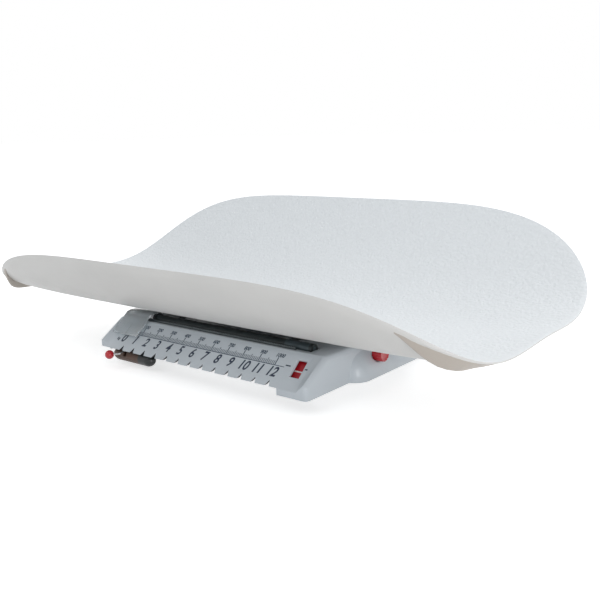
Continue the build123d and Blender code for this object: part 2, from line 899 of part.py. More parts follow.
with BuildPart() as stop_buffers:
    span_box(stop_across, (bar_front, bar_back), (low_face - buffer_sheet, low_face))
    span_box(stop_across, (bar_front, bar_back), (high_face, high_face + buffer_sheet))
stop_buffers.part.label = "stop_buffers"
export_step(stop_buffers.part, "parts/stop_buffers.step")

# The indicator: a red plate with a white line behind the window, carried by the beam
with BuildPart() as indicator_plate:
    low = -panel_depth - indicator_sheet
    corners = [
        panel_point(indicator_low, -panel_depth),
        panel_point(indicator_high, -panel_depth),
        panel_point(indicator_high, low),
        panel_point(indicator_low, low),
    ]
    slab_x(corners, (indicator_left, indicator_right))
    line_low = indicator_line_centre - indicator_line_width / 2
    line_high = indicator_line_centre + indicator_line_width / 2
    line_corners = [
        panel_point(line_low, -panel_depth),
        panel_point(line_high, -panel_depth),
        panel_point(line_high, -panel_depth - indicator_line_sheet),
        panel_point(line_low, -panel_depth - indicator_line_sheet),
    ]
    slab_x(line_corners, (indicator_left, indicator_right), Mode.SUBTRACT)
indicator_plate.part.label = "indicator_plate"
export_step(indicator_plate.part, "parts/indicator_plate.step")

with BuildPart() as indicator_line:
    slab_x(line_corners, (indicator_left, indicator_right))
indicator_line.part.label = "indicator_line"
export_step(indicator_line.part, "parts/indicator_line.step")

with BuildPart() as indicator_arm:
    corners = [
        (bar_front, bar_bottom + bar_tail_height - arm_depth),
        (bar_front, bar_bottom + bar_tail_height),
        panel_point(indicator_high - bracket_thickness, low),
        panel_point(indicator_low + bracket_thickness, low),
    ]
    slab_x(corners, (rod_end, rod_end + bracket_thickness))
indicator_arm.part.label = "indicator_arm"
export_step(indicator_arm.part, "parts/indicator_arm.step")

# The kilogram poise: a brass bar with a black end cap, hung from the rail by its carriage
poise_plane = Plane(origin=(0, poise_y, poise_z), x_dir=(1, 0, 0), z_dir=(0, -1, 0))
poise_axis = Axis((0, poise_y, poise_z), (1, 0, 0))
flat_size = 4 * poise_radius
with BuildPart() as kg_poise_weight:
    with BuildSketch(poise_plane):
        with BuildLine():
            Polyline(
                (poise_left + poise_nose_length, poise_radius),
                (poise_split, poise_radius),
                (poise_split, 0),
                (poise_left, 0),
                (poise_left, poise_nose_radius),
            )
            TangentArc(
                (poise_left + poise_nose_length, poise_radius),
                (poise_left, poise_nose_radius),
                tangent=(-1, 0),
            )
        make_face()
    revolve(axis=poise_axis)
    across_y = (poise_y - poise_radius, poise_y + poise_radius)
    span_box((poise_left, poise_split), across_y, (poise_flat_z, poise_flat_z + flat_size), Mode.SUBTRACT)
    groove_x = (zero_notch_x - catch_slot_width / 2, zero_notch_x + catch_slot_width / 2)
    span_box(groove_x, across_y, (catch_groove_floor, poise_flat_z), Mode.SUBTRACT)
kg_poise_weight.part.label = "kg_poise_weight"
export_step(kg_poise_weight.part, "parts/kg_poise_weight.step")

with BuildPart() as kg_poise_cap:
    with BuildSketch(poise_plane):
        with BuildLine():
            Polyline(
                (poise_right - poise_cap_round, poise_radius),
                (poise_split, poise_radius),
                (poise_split, 0),
                (poise_right, 0),
                (poise_right, poise_cap_end_radius),
            )
            TangentArc(
                (poise_right - poise_cap_round, poise_radius),
                (poise_right, poise_cap_end_radius),
                tangent=(1, 0),
            )
        make_face()
    revolve(axis=poise_axis)
kg_poise_cap.part.label = "kg_poise_cap"
export_step(kg_poise_cap.part, "parts/kg_poise_cap.step")

carriage_span = (carriage_left, carriage_right)
carriage_back = rail_back + rail_guide_gap + carriage_wall
with BuildPart() as kg_poise_carriage:
    shelf_z = (poise_flat_z, rail_bottom - guide_gap)
    roof_z = (rail_top + guide_gap, rail_top + guide_gap + carriage_wall)
    rear_y = (carriage_back - carriage_wall, carriage_back)
    span_box(carriage_span, (carriage_front, carriage_back), shelf_z)
    span_box(carriage_span, rear_y, (poise_flat_z, roof_z[1]))
    span_box(carriage_span, (rail_front + carriage_roof_inset, carriage_back), roof_z)
    slot_y = (carriage_front, rear_y[0])
    span_box(groove_x, slot_y, shelf_z, Mode.SUBTRACT)
    pin_x = (zero_notch_x - catch_pin_half, zero_notch_x + catch_pin_half)
    bar_x(catch_pin_radius, pin_x, catch_pivot_y, catch_pivot_z, Mode.SUBTRACT)
kg_poise_carriage.part.label = "kg_poise_carriage"
export_step(kg_poise_carriage.part, "parts/kg_poise_carriage.step")

with BuildPart() as catch_pin:
    bar_x(catch_pin_radius, pin_x, catch_pivot_y, catch_pivot_z)
catch_pin.part.label = "catch_pin"
export_step(catch_pin.part, "parts/catch_pin.step")

# The catch: a sprung wire with a tooth for the rail's notches, and its red ball grip
with BuildPart() as catch_wire:
    with BuildLine() as wire_path:
        FilletPolyline(
            (zero_notch_x, catch_pivot_y - catch_pin_radius - catch_root_gap, catch_pivot_z),
            (zero_notch_x, carriage_front, catch_pivot_z - catch_wire_sink),
            (zero_notch_x - catch_wire_lean, catch_bend_y, catch_bend_z),
            (catch_ball_x, catch_ball_y, catch_ball_z),
            radius=catch_bend_radius,
        )
    start = wire_path.line @ 0
    with BuildSketch(Plane(origin=start, z_dir=wire_path.line % 0)):
        Circle(catch_wire_radius)
    sweep()
    eye_x = (zero_notch_x - catch_eye_half, zero_notch_x + catch_eye_half)
    bar_x(catch_eye_radius, eye_x, catch_pivot_y, catch_pivot_z)
    tooth_top = rail_bottom + catch_tooth_height
    corners = [
        (zero_notch_x - catch_tooth_root, catch_pivot_z),
        (zero_notch_x + catch_tooth_root, catch_pivot_z),
        (zero_notch_x + catch_tooth_tip, tooth_top),
        (zero_notch_x - catch_tooth_tip, tooth_top),
    ]
    slab_y(corners, (rail_front - guide_gap, rail_front + rail_thickness + guide_gap))
    bar_x(catch_pin_radius + running_fit, eye_x, catch_pivot_y, catch_pivot_z, Mode.SUBTRACT)
catch_wire.part.label = "catch_wire"
export_step(catch_wire.part, "parts/catch_wire.step")

with BuildPart() as catch_ball:
    with Locations((catch_ball_x, catch_ball_y, catch_ball_z)):
        Sphere(catch_ball_radius)
    add(catch_wire.part, mode=Mode.SUBTRACT)
catch_ball.part.label = "catch_ball"
export_step(catch_ball.part, "parts/catch_ball.step")

# The gram poise: a core weight that slides on the rod, its bush, and a clear cover that reaches down
# over the panel with a red hairline
with BuildPart() as gram_poise_core:
    core_span = (gram_poise_left, gram_poise_right - end_bush_length)
    bar_x(core_radius, core_span, rod_y, rod_z)
    bar_x(rod_radius + running_fit, core_span, rod_y, rod_z, Mode.SUBTRACT)
gram_poise_core.part.label = "gram_poise_core"
export_step(gram_poise_core.part, "parts/gram_poise_core.step")

with BuildPart() as gram_poise_bush:
    end_span = (gram_poise_right - end_bush_length, gram_poise_right)
    bar_x(core_radius, end_span, rod_y, rod_z)
    bar_x(rod_radius + running_fit, end_span, rod_y, rod_z, Mode.SUBTRACT)
gram_poise_bush.part.label = "gram_poise_bush"
export_step(gram_poise_bush.part, "parts/gram_poise_bush.step")

tongue_outer = panel_swing_gap + cover_sheet
with BuildPart() as gram_poise_cover:
    with BuildSketch(Plane.YZ.offset(gram_poise_left)):
        with Locations((rod_y, rod_z)):
            Circle(cover_radius)
            Circle(core_radius, mode=Mode.SUBTRACT)
        with Locations((rod_y - cover_radius, rod_z)):
            Rectangle(2 * cover_radius, 2 * cover_radius + overcut, mode=Mode.SUBTRACT)
        with Locations((rod_y, rod_z - cover_radius - cover_back_drop)):
            Rectangle(2 * cover_radius + overcut, 2 * cover_radius, mode=Mode.SUBTRACT)
        with BuildLine():
            Polyline(
                panel_point(cover_start, panel_swing_gap),
                panel_point(cover_start, tongue_outer),
                panel_point(cover_tongue_top, tongue_outer),
                (rod_y - core_radius, rod_z + cover_radius),
                (rod_y, rod_z + cover_radius),
                (rod_y, rod_z + core_radius),
                (rod_y - core_radius - cover_ease, rod_z + core_radius),
                panel_point(cover_tongue_top, panel_swing_gap),
                close=True,
            )
        make_face()
    extrude(amount=gram_poise_length)
gram_poise_cover.part.label = "gram_poise_cover"
export_step(gram_poise_cover.part, "parts/gram_poise_cover.step")

with BuildPart() as gram_poise_index:
    corners = [
        panel_point(cover_start, panel_swing_gap),
        panel_point(cover_start + index_length, panel_swing_gap),
        panel_point(cover_start + index_length, panel_swing_gap - index_sheet),
        panel_point(cover_start, panel_swing_gap - index_sheet),
    ]
    slab_x(corners, (gram_zero_x - index_width / 2, gram_zero_x + index_width / 2))
gram_poise_index.part.label = "gram_poise_index"
export_step(gram_poise_index.part, "parts/gram_poise_index.step")

# The platform levers: each has two arms on knives, and a tongue that reaches the shackle between them
arm_inner = lever_arm_y - lever_arm_width / 2
arm_outer = lever_arm_y + lever_arm_width / 2
lever_z = (lever_bottom, lever_top)
fulcrum_span = (arm_inner - fulcrum_knife_reach, arm_outer)
load_span = (arm_inner, arm_outer + load_knife_reach)
shackle_low = shackle_bottom + shackle_wall
shackle_high = shackle_low + shackle_window
long_nose_y = (nose_bar_y - lever_arm_width / 2, nose_bar_y + lever_arm_width / 2)
long_tongue_y = (shackle_y - tongue_gap - lever_arm_width, shackle_y - tongue_gap)
short_tongue_y = (shackle_y + tongue_gap, shackle_y + tongue_gap + lever_arm_width)
long_knife_y = (long_tongue_y[0], shackle_y + shackle_sheet / 2 + knife_end_gap)
short_knife_y = (shackle_y - shackle_sheet / 2 - knife_end_gap, short_tongue_y[1])
nose_knife_y = (link_y - link_thickness / 2 - knife_end_gap, long_nose_y[1])
cross_start = shackle_x + cross_offset

with BuildPart() as long_lever:
    for y in both_sides((arm_inner, arm_outer)):
        span_box((cross_start, long_fulcrum_x + lever_heel), y, lever_z)
    tail_y = (-arm_outer, -arm_inner)
    span_box((long_fulcrum_x, lever_tail_x), tail_y, lever_z)
    span_box((cross_start, cross_start + cross_bar_width), (long_nose_y[0], arm_outer), lever_z)
    span_box((load_x - lever_nose, cross_start + cross_bar_width), long_nose_y, lever_z)
    span_box((shackle_x - lever_nose, cross_start + cross_bar_width), long_tongue_y, lever_z)
    for y in both_sides(fulcrum_span):
        knife(long_fulcrum_x, knife_height, False, y, Mode.SUBTRACT)
    for y in both_sides(load_span):
        knife(long_load_x, knife_height, True, y, Mode.SUBTRACT)
    knife(load_x, link_low + knife_gap, False, nose_knife_y, Mode.SUBTRACT)
    knife(shackle_x, shackle_high - knife_gap, True, long_knife_y, Mode.SUBTRACT)
long_lever.part.label = "long_lever"
export_step(long_lever.part, "parts/long_lever.step")

with BuildPart() as long_lever_knives:
    for y in both_sides(fulcrum_span):
        knife(long_fulcrum_x, knife_height, False, y)
    for y in both_sides(load_span):
        knife(long_load_x, knife_height, True, y)
    knife(load_x, link_low + knife_gap, False, nose_knife_y)
    knife(shackle_x, shackle_high - knife_gap, True, long_knife_y)
long_lever_knives.part.label = "long_lever_knives"
export_step(long_lever_knives.part, "parts/long_lever_knives.step")

short_cross_end = shackle_x - cross_offset
with BuildPart() as short_lever:
    for y in both_sides((arm_inner, arm_outer)):
        span_box((short_fulcrum_x - lever_heel, short_cross_end), y, lever_z)
    span_box((short_cross_end - cross_bar_width, short_cross_end), (-arm_outer, arm_outer), lever_z)
    span_box((short_cross_end - cross_bar_width, shackle_x + lever_nose), short_tongue_y, lever_z)
    for y in both_sides(fulcrum_span):
        knife(short_fulcrum_x, knife_height, False, y, Mode.SUBTRACT)
    for y in both_sides(load_span):
        knife(short_load_x, knife_height, True, y, Mode.SUBTRACT)
    knife(shackle_x, shackle_low + knife_gap, False, short_knife_y, Mode.SUBTRACT)
short_lever.part.label = "short_lever"
export_step(short_lever.part, "parts/short_lever.step")

with BuildPart() as short_lever_knives:
    for y in both_sides(fulcrum_span):
        knife(short_fulcrum_x, knife_height, False, y)
    for y in both_sides(load_span):
        knife(short_load_x, knife_height, True, y)
    knife(shackle_x, shackle_low + knife_gap, False, short_knife_y)
short_lever_knives.part.label = "short_lever_knives"
export_step(short_lever_knives.part, "parts/short_lever_knives.step")

with BuildPart() as lever_shackle:
    plate_y = (shackle_y - shackle_sheet / 2, shackle_y + shackle_sheet / 2)
    outer_x = (shackle_x - shackle_half, shackle_x + shackle_half)
    window_x = (outer_x[0] + shackle_side, outer_x[1] - shackle_side)
    span_box(outer_x, plate_y, (shackle_bottom, shackle_high + shackle_wall))
    span_box(window_x, plate_y, (shackle_low, shackle_high), Mode.SUBTRACT)
lever_shackle.part.label = "lever_shackle"
export_step(lever_shackle.part, "parts/lever_shackle.step")

with BuildPart() as load_link:
    plate_y = (link_y - link_thickness / 2, link_y + link_thickness / 2)
    outer_x = (load_x - shackle_half, load_x + shackle_half)
    window_x = (outer_x[0] + shackle_side, outer_x[1] - shackle_side)
    link_high = load_knife_height + knife_gap
    span_box(outer_x, plate_y, (link_low - shackle_wall, link_high + shackle_wall))
    span_box(window_x, plate_y, (link_low, link_high), Mode.SUBTRACT)
load_link.part.label = "load_link"
export_step(load_link.part, "parts/load_link.step")

# Fulcrum posts for the levers, each with its bearing
apex_z = knife_height - knife_gap
post_y = (fulcrum_span[0] - post_wall, arm_inner - post_gap)
seat_y = (fulcrum_span[0] - guide_gap, post_y[1])
seat_z = (apex_z - bearing_wall - bearing_depth, apex_z + bearing_depth)
with BuildPart() as fulcrum_posts:
    for x in [long_fulcrum_x, short_fulcrum_x]:
        for y, seat in zip(both_sides(post_y), both_sides(seat_y)):
            span_box((x - post_half, x + post_half), y, (plate_top, seat_z[1]))
            span_box((x - bearing_half, x + bearing_half), seat, (seat_z[0], seat_z[1]), Mode.SUBTRACT)
fulcrum_posts.part.label = "fulcrum_posts"
export_step(fulcrum_posts.part, "parts/fulcrum_posts.step")

with BuildPart() as fulcrum_bearings:
    for x in [long_fulcrum_x, short_fulcrum_x]:
        for seat in both_sides(seat_y):
            span_box((x - bearing_half, x + bearing_half), seat, seat_z)
            vee_cut(x, apex_z, True, seat, bearing_depth)
fulcrum_bearings.part.label = "fulcrum_bearings"
export_step(fulcrum_bearings.part, "parts/fulcrum_bearings.step")

# The platform, on four pillars with bearings that rest on the levers' load knives
pillar_span = (pillar_y - pillar_width / 2, pillar_y + pillar_width / 2)
with BuildPart() as platform_bearings:
    for x in [long_load_x, short_load_x]:
        for y in both_sides(pillar_span):
            bearing_span = (knife_height + knife_gap - bearing_skirt, pillar_foot_z)
            span_box((x - saddle_half, x + saddle_half), y, bearing_span)
            vee_cut(x, knife_height + knife_gap, False, y, bearing_skirt)
platform_bearings.part.label = "platform_bearings"
export_step(platform_bearings.part, "parts/platform_bearings.step")

with BuildPart() as platform_pillars:
    for x in [long_load_x, short_load_x]:
        for y in both_sides(pillar_span):
            span_box((x - pillar_length / 2, x + pillar_length / 2), y, (pillar_foot_z, platform_bottom))
platform_pillars.part.label = "platform_pillars"
export_step(platform_pillars.part, "parts/platform_pillars.step")

with BuildPart() as platform_plate:
    with BuildSketch(Plane.XY.offset(platform_bottom)):
        RectangleRounded(2 * platform_half_length, 2 * platform_half_width, platform_corner)
    extrude(amount=platform_thickness)
platform_plate.part.label = "platform_plate"
export_step(platform_plate.part, "parts/platform_plate.step")

with BuildPart() as tray_pads:
    for x in [-pad_x, pad_x]:
        for y in [-pad_y, pad_y]:
            column(pad_radius, x, y, (platform_top, tray_boss_bottom))
            column(pad_pin_radius, x, y, (tray_boss_bottom, tray_boss_bottom + pad_pin_height))
tray_pads.part.label = "tray_pads"
export_step(tray_pads.part, "parts/tray_pads.step")

# Zero adjustment: the knob turns a screw spindle, whose nut carries a leaf spring along the long
# lever's tail
nut_y = (zero_y - nut_side / 2, zero_y + nut_side / 2)
nut_z = (nut_bottom, zero_z + nut_side / 2)
with BuildPart() as zero_bracket:
    bracket_x = (zero_cheek_left, zero_cheek_right + zero_cheek_thickness)
    guide_y = (nut_y[1] + guide_gap, nut_y[1] + guide_gap + zero_cheek_thickness)
    span_box(bracket_x, (nut_y[0], guide_y[1]), (plate_top, plate_top + zero_cheek_thickness))
    span_box(bracket_x, guide_y, (plate_top, nut_z[1]))
    for x in [zero_cheek_left, zero_cheek_right]:
        span_box((x, x + zero_cheek_thickness), (nut_y[0], guide_y[1]), (plate_top, nut_z[1]))
    bar_x(spindle_radius + running_fit, bracket_x, zero_y, zero_z, Mode.SUBTRACT)
zero_bracket.part.label = "zero_bracket"
export_step(zero_bracket.part, "parts/zero_bracket.step")

with BuildPart() as zero_nut:
    nut_x = (nut_centre - nut_length / 2, nut_centre + nut_length / 2)
    span_box(nut_x, nut_y, nut_z)
    bar_x(spindle_radius + running_fit, nut_x, zero_y, zero_z, Mode.SUBTRACT)
zero_nut.part.label = "zero_nut"
export_step(zero_nut.part, "parts/zero_nut.step")

with BuildPart() as zero_spring:
    spring_x = (nut_centre - spring_width / 2, nut_centre + spring_width / 2)
    spring_z = (nut_z[0] - spring_sheet, nut_z[0])
    span_box(spring_x, (-arm_outer, nut_y[1]), spring_z)
zero_spring.part.label = "zero_spring"
export_step(zero_spring.part, "parts/zero_spring.step")

with BuildPart() as zero_spindle:
    bar_x(spindle_radius, (spindle_start, knob_start + knob_length / 2), zero_y, zero_z)
zero_spindle.part.label = "zero_spindle"
export_step(zero_spindle.part, "parts/zero_spindle.step")

with BuildPart() as zero_bush:
    bar_x(bush_radius, bush_span, zero_y, zero_z)
    bar_x(spindle_radius + running_fit, bush_span, zero_y, zero_z, Mode.SUBTRACT)
zero_bush.part.label = "zero_bush"
export_step(zero_bush.part, "parts/zero_bush.step")

with BuildPart() as zero_knob:
    with BuildSketch(Plane.YZ.offset(knob_start)):
        with Locations((zero_y, zero_z)):
            Circle(knob_radius)
            with PolarLocations(knob_radius, knob_flutes):
                Circle(flute_radius, mode=Mode.SUBTRACT)
    extrude(amount=knob_length)
    bar_x(spindle_radius, (knob_start, knob_start + knob_length / 2), zero_y, zero_z, Mode.SUBTRACT)
    with Locations((knob_start + knob_length + knob_dish_radius - knob_dish_depth, zero_y, zero_z)):
        Sphere(knob_dish_radius, mode=Mode.SUBTRACT)
zero_knob.part.label = "zero_knob"
export_step(zero_knob.part, "parts/zero_knob.step")
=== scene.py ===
import json
import math
from functools import partial

import bmesh
import bpy
from mathutils import Matrix, Vector


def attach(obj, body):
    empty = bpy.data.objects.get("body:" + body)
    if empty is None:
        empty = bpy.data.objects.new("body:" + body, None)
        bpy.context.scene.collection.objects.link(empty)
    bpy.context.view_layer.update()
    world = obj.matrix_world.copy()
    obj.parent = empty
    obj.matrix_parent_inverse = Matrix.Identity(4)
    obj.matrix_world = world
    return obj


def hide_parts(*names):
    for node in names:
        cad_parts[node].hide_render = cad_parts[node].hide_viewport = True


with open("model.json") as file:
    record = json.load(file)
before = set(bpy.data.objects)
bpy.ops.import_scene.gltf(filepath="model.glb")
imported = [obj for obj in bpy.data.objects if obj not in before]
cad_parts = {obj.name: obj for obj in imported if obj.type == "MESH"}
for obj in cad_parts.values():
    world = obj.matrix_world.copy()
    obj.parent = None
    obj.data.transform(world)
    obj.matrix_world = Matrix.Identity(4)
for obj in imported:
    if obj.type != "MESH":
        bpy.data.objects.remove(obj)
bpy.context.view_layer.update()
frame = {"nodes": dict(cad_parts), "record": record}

bl_info = {
    "name": "Baby scale",
    "version": (1, 0, 0),
    "blender": (4, 5, 0),
    "location": "View3D > Sidebar > Baby scale",
    "description": "Dresses the packed baby scale: tray, housing, scale print, poises and knob",
    "category": "Add Mesh",
}


class TraySizes(bpy.types.PropertyGroup):
    """The trough tray."""

    half_length: bpy.props.FloatProperty(
        name="Half length", description="From the middle to the end lip", default=0.2768, unit="LENGTH")
    half_width: bpy.props.FloatProperty(
        name="Half width", description="From the middle to a rim", default=0.1488, unit="LENGTH")
    floor_height: bpy.props.FloatProperty(
        name="Floor height", description="Inner face at the middle", default=0.053, unit="LENGTH")
    front_rim: bpy.props.FloatProperty(
        name="Front rim height", description="Inner edge of the low rim", default=0.1108, unit="LENGTH")
    back_rim: bpy.props.FloatProperty(
        name="Back rim height", description="Inner edge of the high rim", default=0.1416, unit="LENGTH")
    sheet: bpy.props.FloatProperty(
        name="Sheet", description="Thickness of the moulding", default=0.003, unit="LENGTH")
    inside: bpy.props.FloatVectorProperty(
        name="Inside", description="Colour of the grained face", subtype="COLOR", size=3,
        default=(0.86, 0.885, 0.90))
    outside: bpy.props.FloatVectorProperty(
        name="Outside", description="Colour of the smooth face", subtype="COLOR", size=3,
        default=(0.70, 0.69, 0.67))


class HousingSizes(bpy.types.PropertyGroup):
    """The base housing and its trim."""

    edge_round: bpy.props.FloatProperty(
        name="Edge round", description="Rounding of the moulded edges", default=0.0004, unit="LENGTH")
    shell: bpy.props.FloatVectorProperty(
        name="Shell", description="Colour of the moulding", subtype="COLOR", size=3,
        default=(0.57, 0.615, 0.655))
    rubber: bpy.props.FloatVectorProperty(
        name="Rubber", description="Colour of feet, pads and buffers", subtype="COLOR", size=3,
        default=(0.02, 0.02, 0.022))


class PrintSizes(bpy.types.PropertyGroup):
    """The printed scales on the panel."""

    kilogram_height: bpy.props.FloatProperty(
        name="Kilogram figures", description="Height of the large figures", default=0.0088, unit="LENGTH")
    gram_height: bpy.props.FloatProperty(
        name="Gram figures", description="Height of the small figures", default=0.0034, unit="LENGTH")
    film: bpy.props.FloatProperty(
        name="Ink film", description="Thickness of the print", default=0.00008, unit="LENGTH")
    ink: bpy.props.FloatVectorProperty(
        name="Ink", description="Colour of the print", subtype="COLOR", size=3, default=(0.025, 0.038, 0.07))
    fine_ink: bpy.props.FloatVectorProperty(
        name="Fine ink", description="Colour of the small print", subtype="COLOR", size=3,
        default=(0.045, 0.07, 0.105))


class PoiseSizes(bpy.types.PropertyGroup):
    """Poises, catch, indicator and knob."""

    red: bpy.props.FloatVectorProperty(
        name="Red", description="Colour of the grips and the indicator", subtype="COLOR", size=3,
        default=(0.52, 0.012, 0.022))
    brass: bpy.props.FloatVectorProperty(
        name="Aged brass", description="Colour of the kilogram poise", subtype="COLOR", size=3,
        default=(0.085, 0.048, 0.034))
    knob_radius: bpy.props.FloatProperty(
        name="Knob radius", description="Over the flutes", default=0.0066, unit="LENGTH")
    knob_length: bpy.props.FloatProperty(
        name="Knob length", description="Along its axis", default=0.009, unit="LENGTH")
    ball_radius: bpy.props.FloatProperty(
        name="Ball radius", description="Grip of the catch", default=0.0042, unit="LENGTH")


class StageSizes(bpy.types.PropertyGroup):
    """Floor, lamps and camera."""

    floor_size: bpy.props.FloatProperty(
        name="Floor", description="Side of the floor", default=60.0, unit="LENGTH")
    key_power: bpy.props.FloatProperty(
        name="Key lamp", description="Power of the large lamp", default=4.0, unit="POWER")
    fill_power: bpy.props.FloatProperty(
        name="Fill lamp", description="Power of the fill lamp", default=7.0, unit="POWER")
    top_power: bpy.props.FloatProperty(
        name="Top lamp", description="Power of the overhead lamp", default=17.5, unit="POWER")
    sky_strength: bpy.props.FloatProperty(
        name="Sky", description="Strength of the surrounding light", default=0.5)
    lens: bpy.props.FloatProperty(
        name="Lens", description="Focal length on a 36 mm frame", default=46.216, unit="CAMERA")


def clear_selection():
    """Deselects everything, in object mode."""
    if bpy.context.object and bpy.context.object.mode != "OBJECT":
        bpy.ops.object.mode_set(mode="OBJECT")
    bpy.ops.object.select_all(action="DESELECT")


def make_active(piece):
    """Selects one piece alone."""
    clear_selection()
    piece.select_set(True)
    bpy.context.view_layer.objects.active = piece


def named(name):
    """Gives the new primitive its name and returns it."""
    piece = bpy.context.object
    piece.name = name
    piece.data.name = name
    return piece


def settle(piece):
    """Moves the piece's place into its mesh."""
    make_active(piece)
    bpy.ops.object.transform_apply(location=True, rotation=True, scale=True)


def apply_all(piece):
    """Applies the piece's modifiers in order."""
    make_active(piece)
    for modifier in list(piece.modifiers):
        bpy.ops.object.modifier_apply(modifier=modifier.name)


def smooth(piece, degrees):
    """Shades the piece smooth, with sharp edges kept above an angle."""
    make_active(piece)
    bpy.ops.object.shade_smooth_by_angle(angle=math.radians(degrees))


def join(name, pieces):
    """Joins pieces into the first one."""
    clear_selection()
    for piece in pieces:
        piece.select_set(True)
    bpy.context.view_layer.objects.active = pieces[0]
    bpy.ops.object.join()
    return named(name)


def bevel(piece, width, segments=2, degrees=30.0, clamp=True):
    """Rounds the piece's edges that are sharper than an angle."""
    modifier = piece.modifiers.new("Round", "BEVEL")
    modifier.width = width
    modifier.segments = segments
    modifier.limit_method = "ANGLE"
    modifier.angle_limit = math.radians(degrees)
    modifier.use_clamp_overlap = clamp


# Points closer than this become one, and faces that turn less than this from each other become one.
WELD = 0.00001
FLAT = math.radians(0.5)


def copy_of_node(node, name):
    """A new piece with the merged mesh of a CAD node, its flat faces made whole."""
    mesh = frame["nodes"][node].data.copy()
    mesh.materials.clear()
    piece = bpy.data.objects.new(name, mesh)
    bpy.context.scene.collection.objects.link(piece)
    make_active(piece)
    bpy.ops.object.mode_set(mode="EDIT")
    bpy.ops.mesh.select_all(action="SELECT")
    bpy.ops.mesh.remove_doubles(threshold=WELD)
    bpy.ops.mesh.dissolve_limited(angle_limit=FLAT)
    bpy.ops.object.mode_set(mode="OBJECT")
    return piece


def dress(piece, *materials):
    """Puts materials in the piece's slots."""
    piece.data.materials.clear()
    for material in materials:
        piece.data.materials.append(material)


def shader_of(name):
    """A new material, with its node tree and surface shader."""
    material = bpy.data.materials.new(name)
    material.use_nodes = True
    return material, material.node_tree, material.node_tree.nodes["Principled BSDF"]


# The values between which nearly all of a noise pattern lies.
NOISE_LOW, NOISE_HIGH = 0.3, 0.7


def noise(tree, scale, detail=4.0, stretch=(1, 1, 1)):
    """A noise pattern on the piece's own coordinates, which may be stretched along an axis."""
    place = tree.nodes.new("ShaderNodeTexCoord")
    turn = tree.nodes.new("ShaderNodeMapping")
    turn.inputs["Scale"].default_value = stretch
    tree.links.new(place.outputs["Object"], turn.inputs["Vector"])
    pattern = tree.nodes.new("ShaderNodeTexNoise")
    pattern.inputs["Scale"].default_value = scale
    pattern.inputs["Detail"].default_value = detail
    tree.links.new(turn.outputs["Vector"], pattern.inputs["Vector"])
    return pattern.outputs["Fac"]


def pebbles(tree, scale):
    """A pattern of rounded cells on the piece's own coordinates."""
    place = tree.nodes.new("ShaderNodeTexCoord")
    pattern = tree.nodes.new("ShaderNodeTexVoronoi")
    pattern.feature = "SMOOTH_F1"
    pattern.inputs["Scale"].default_value = scale
    tree.links.new(place.outputs["Object"], pattern.inputs["Vector"])
    return pattern.outputs["Distance"]


def spread(tree, value, low, high, start=NOISE_LOW, end=NOISE_HIGH):
    """Maps a pattern's middle part to a range of values."""
    ranged = tree.nodes.new("ShaderNodeMapRange")
    ranged.inputs["From Min"].default_value = start
    ranged.inputs["From Max"].default_value = end
    ranged.inputs["To Min"].default_value = low
    ranged.inputs["To Max"].default_value = high
    tree.links.new(value, ranged.inputs["Value"])
    return ranged.outputs["Result"]


def tinted(tree, value, colour, share):
    """A colour that a pattern darkens and lightens by a share of itself."""
    ramp = tree.nodes.new("ShaderNodeValToRGB")
    dark, light = ramp.color_ramp.elements
    dark.position, light.position = NOISE_LOW, NOISE_HIGH
    dark.color = [*(c * (1 - share) for c in colour), 1]
    light.color = [*(min(1.0, c * (1 + share)) for c in colour), 1]
    tree.links.new(value, ramp.inputs["Fac"])
    return ramp.outputs["Color"]


def bumped(tree, shader, height, distance, strength=1.0):
    """Gives the shader a relief from a pattern."""
    relief = tree.nodes.new("ShaderNodeBump")
    relief.inputs["Distance"].default_value = distance
    relief.inputs["Strength"].default_value = strength
    tree.links.new(height, relief.inputs["Height"])
    tree.links.new(relief.outputs["Normal"], shader.inputs["Normal"])


def moulded(name, colour, roughness, grain, depth, variation, coat=0.0):
    """Moulded plastic: fine skin texture, slight colour drift and uneven gloss."""
    material, tree, shader = shader_of(name)
    drift = noise(tree, scale=14.0, detail=3.0)
    tree.links.new(tinted(tree, drift, colour, variation), shader.inputs["Base Color"])
    gloss = noise(tree, scale=90.0, detail=5.0)
    uneven = spread(tree, gloss, low=roughness - 0.05, high=roughness + 0.06)
    tree.links.new(uneven, shader.inputs["Roughness"])
    shader.inputs["Coat Weight"].default_value = coat
    shader.inputs["Coat Roughness"].default_value = 0.12
    bumped(tree, shader, noise(tree, grain, detail=3.0), depth)
    return material


def leather_grained(name, colour):
    """White plastic with the pebbled grain of the tray's inner face."""
    material, tree, shader = shader_of(name)
    specks = noise(tree, scale=420.0, detail=3.0)
    tree.links.new(tinted(tree, specks, colour, share=0.022), shader.inputs["Base Color"])
    shader.inputs["Roughness"].default_value = 0.5
    grain = spread(tree, pebbles(tree, scale=330.0), low=0.0, high=0.8, start=0.05, end=0.6)
    unevenness = spread(tree, noise(tree, scale=420.0, detail=2.0), low=0.0, high=0.6)
    mixed = tree.nodes.new("ShaderNodeMath")
    mixed.operation = "ADD"
    tree.links.new(grain, mixed.inputs[0])
    tree.links.new(unevenness, mixed.inputs[1])
    bumped(tree, shader, mixed.outputs["Value"], distance=0.0005, strength=0.8)
    return material


def metal(name, colour, roughness, brush, variation=0.06, metallic=1.0, depth=0.00002):
    """Metal with brush marks along the piece, uneven polish and a slight tarnish."""
    material, tree, shader = shader_of(name)
    shader.inputs["Metallic"].default_value = metallic
    tarnish = noise(tree, scale=120.0, detail=5.0)
    tree.links.new(tinted(tree, tarnish, colour, variation), shader.inputs["Base Color"])
    marks = noise(tree, scale=900.0, detail=3.0, stretch=brush)
    uneven = spread(tree, marks, low=roughness - 0.08, high=roughness + 0.1)
    tree.links.new(uneven, shader.inputs["Roughness"])
    bumped(tree, shader, marks, depth, strength=0.6)
    return material


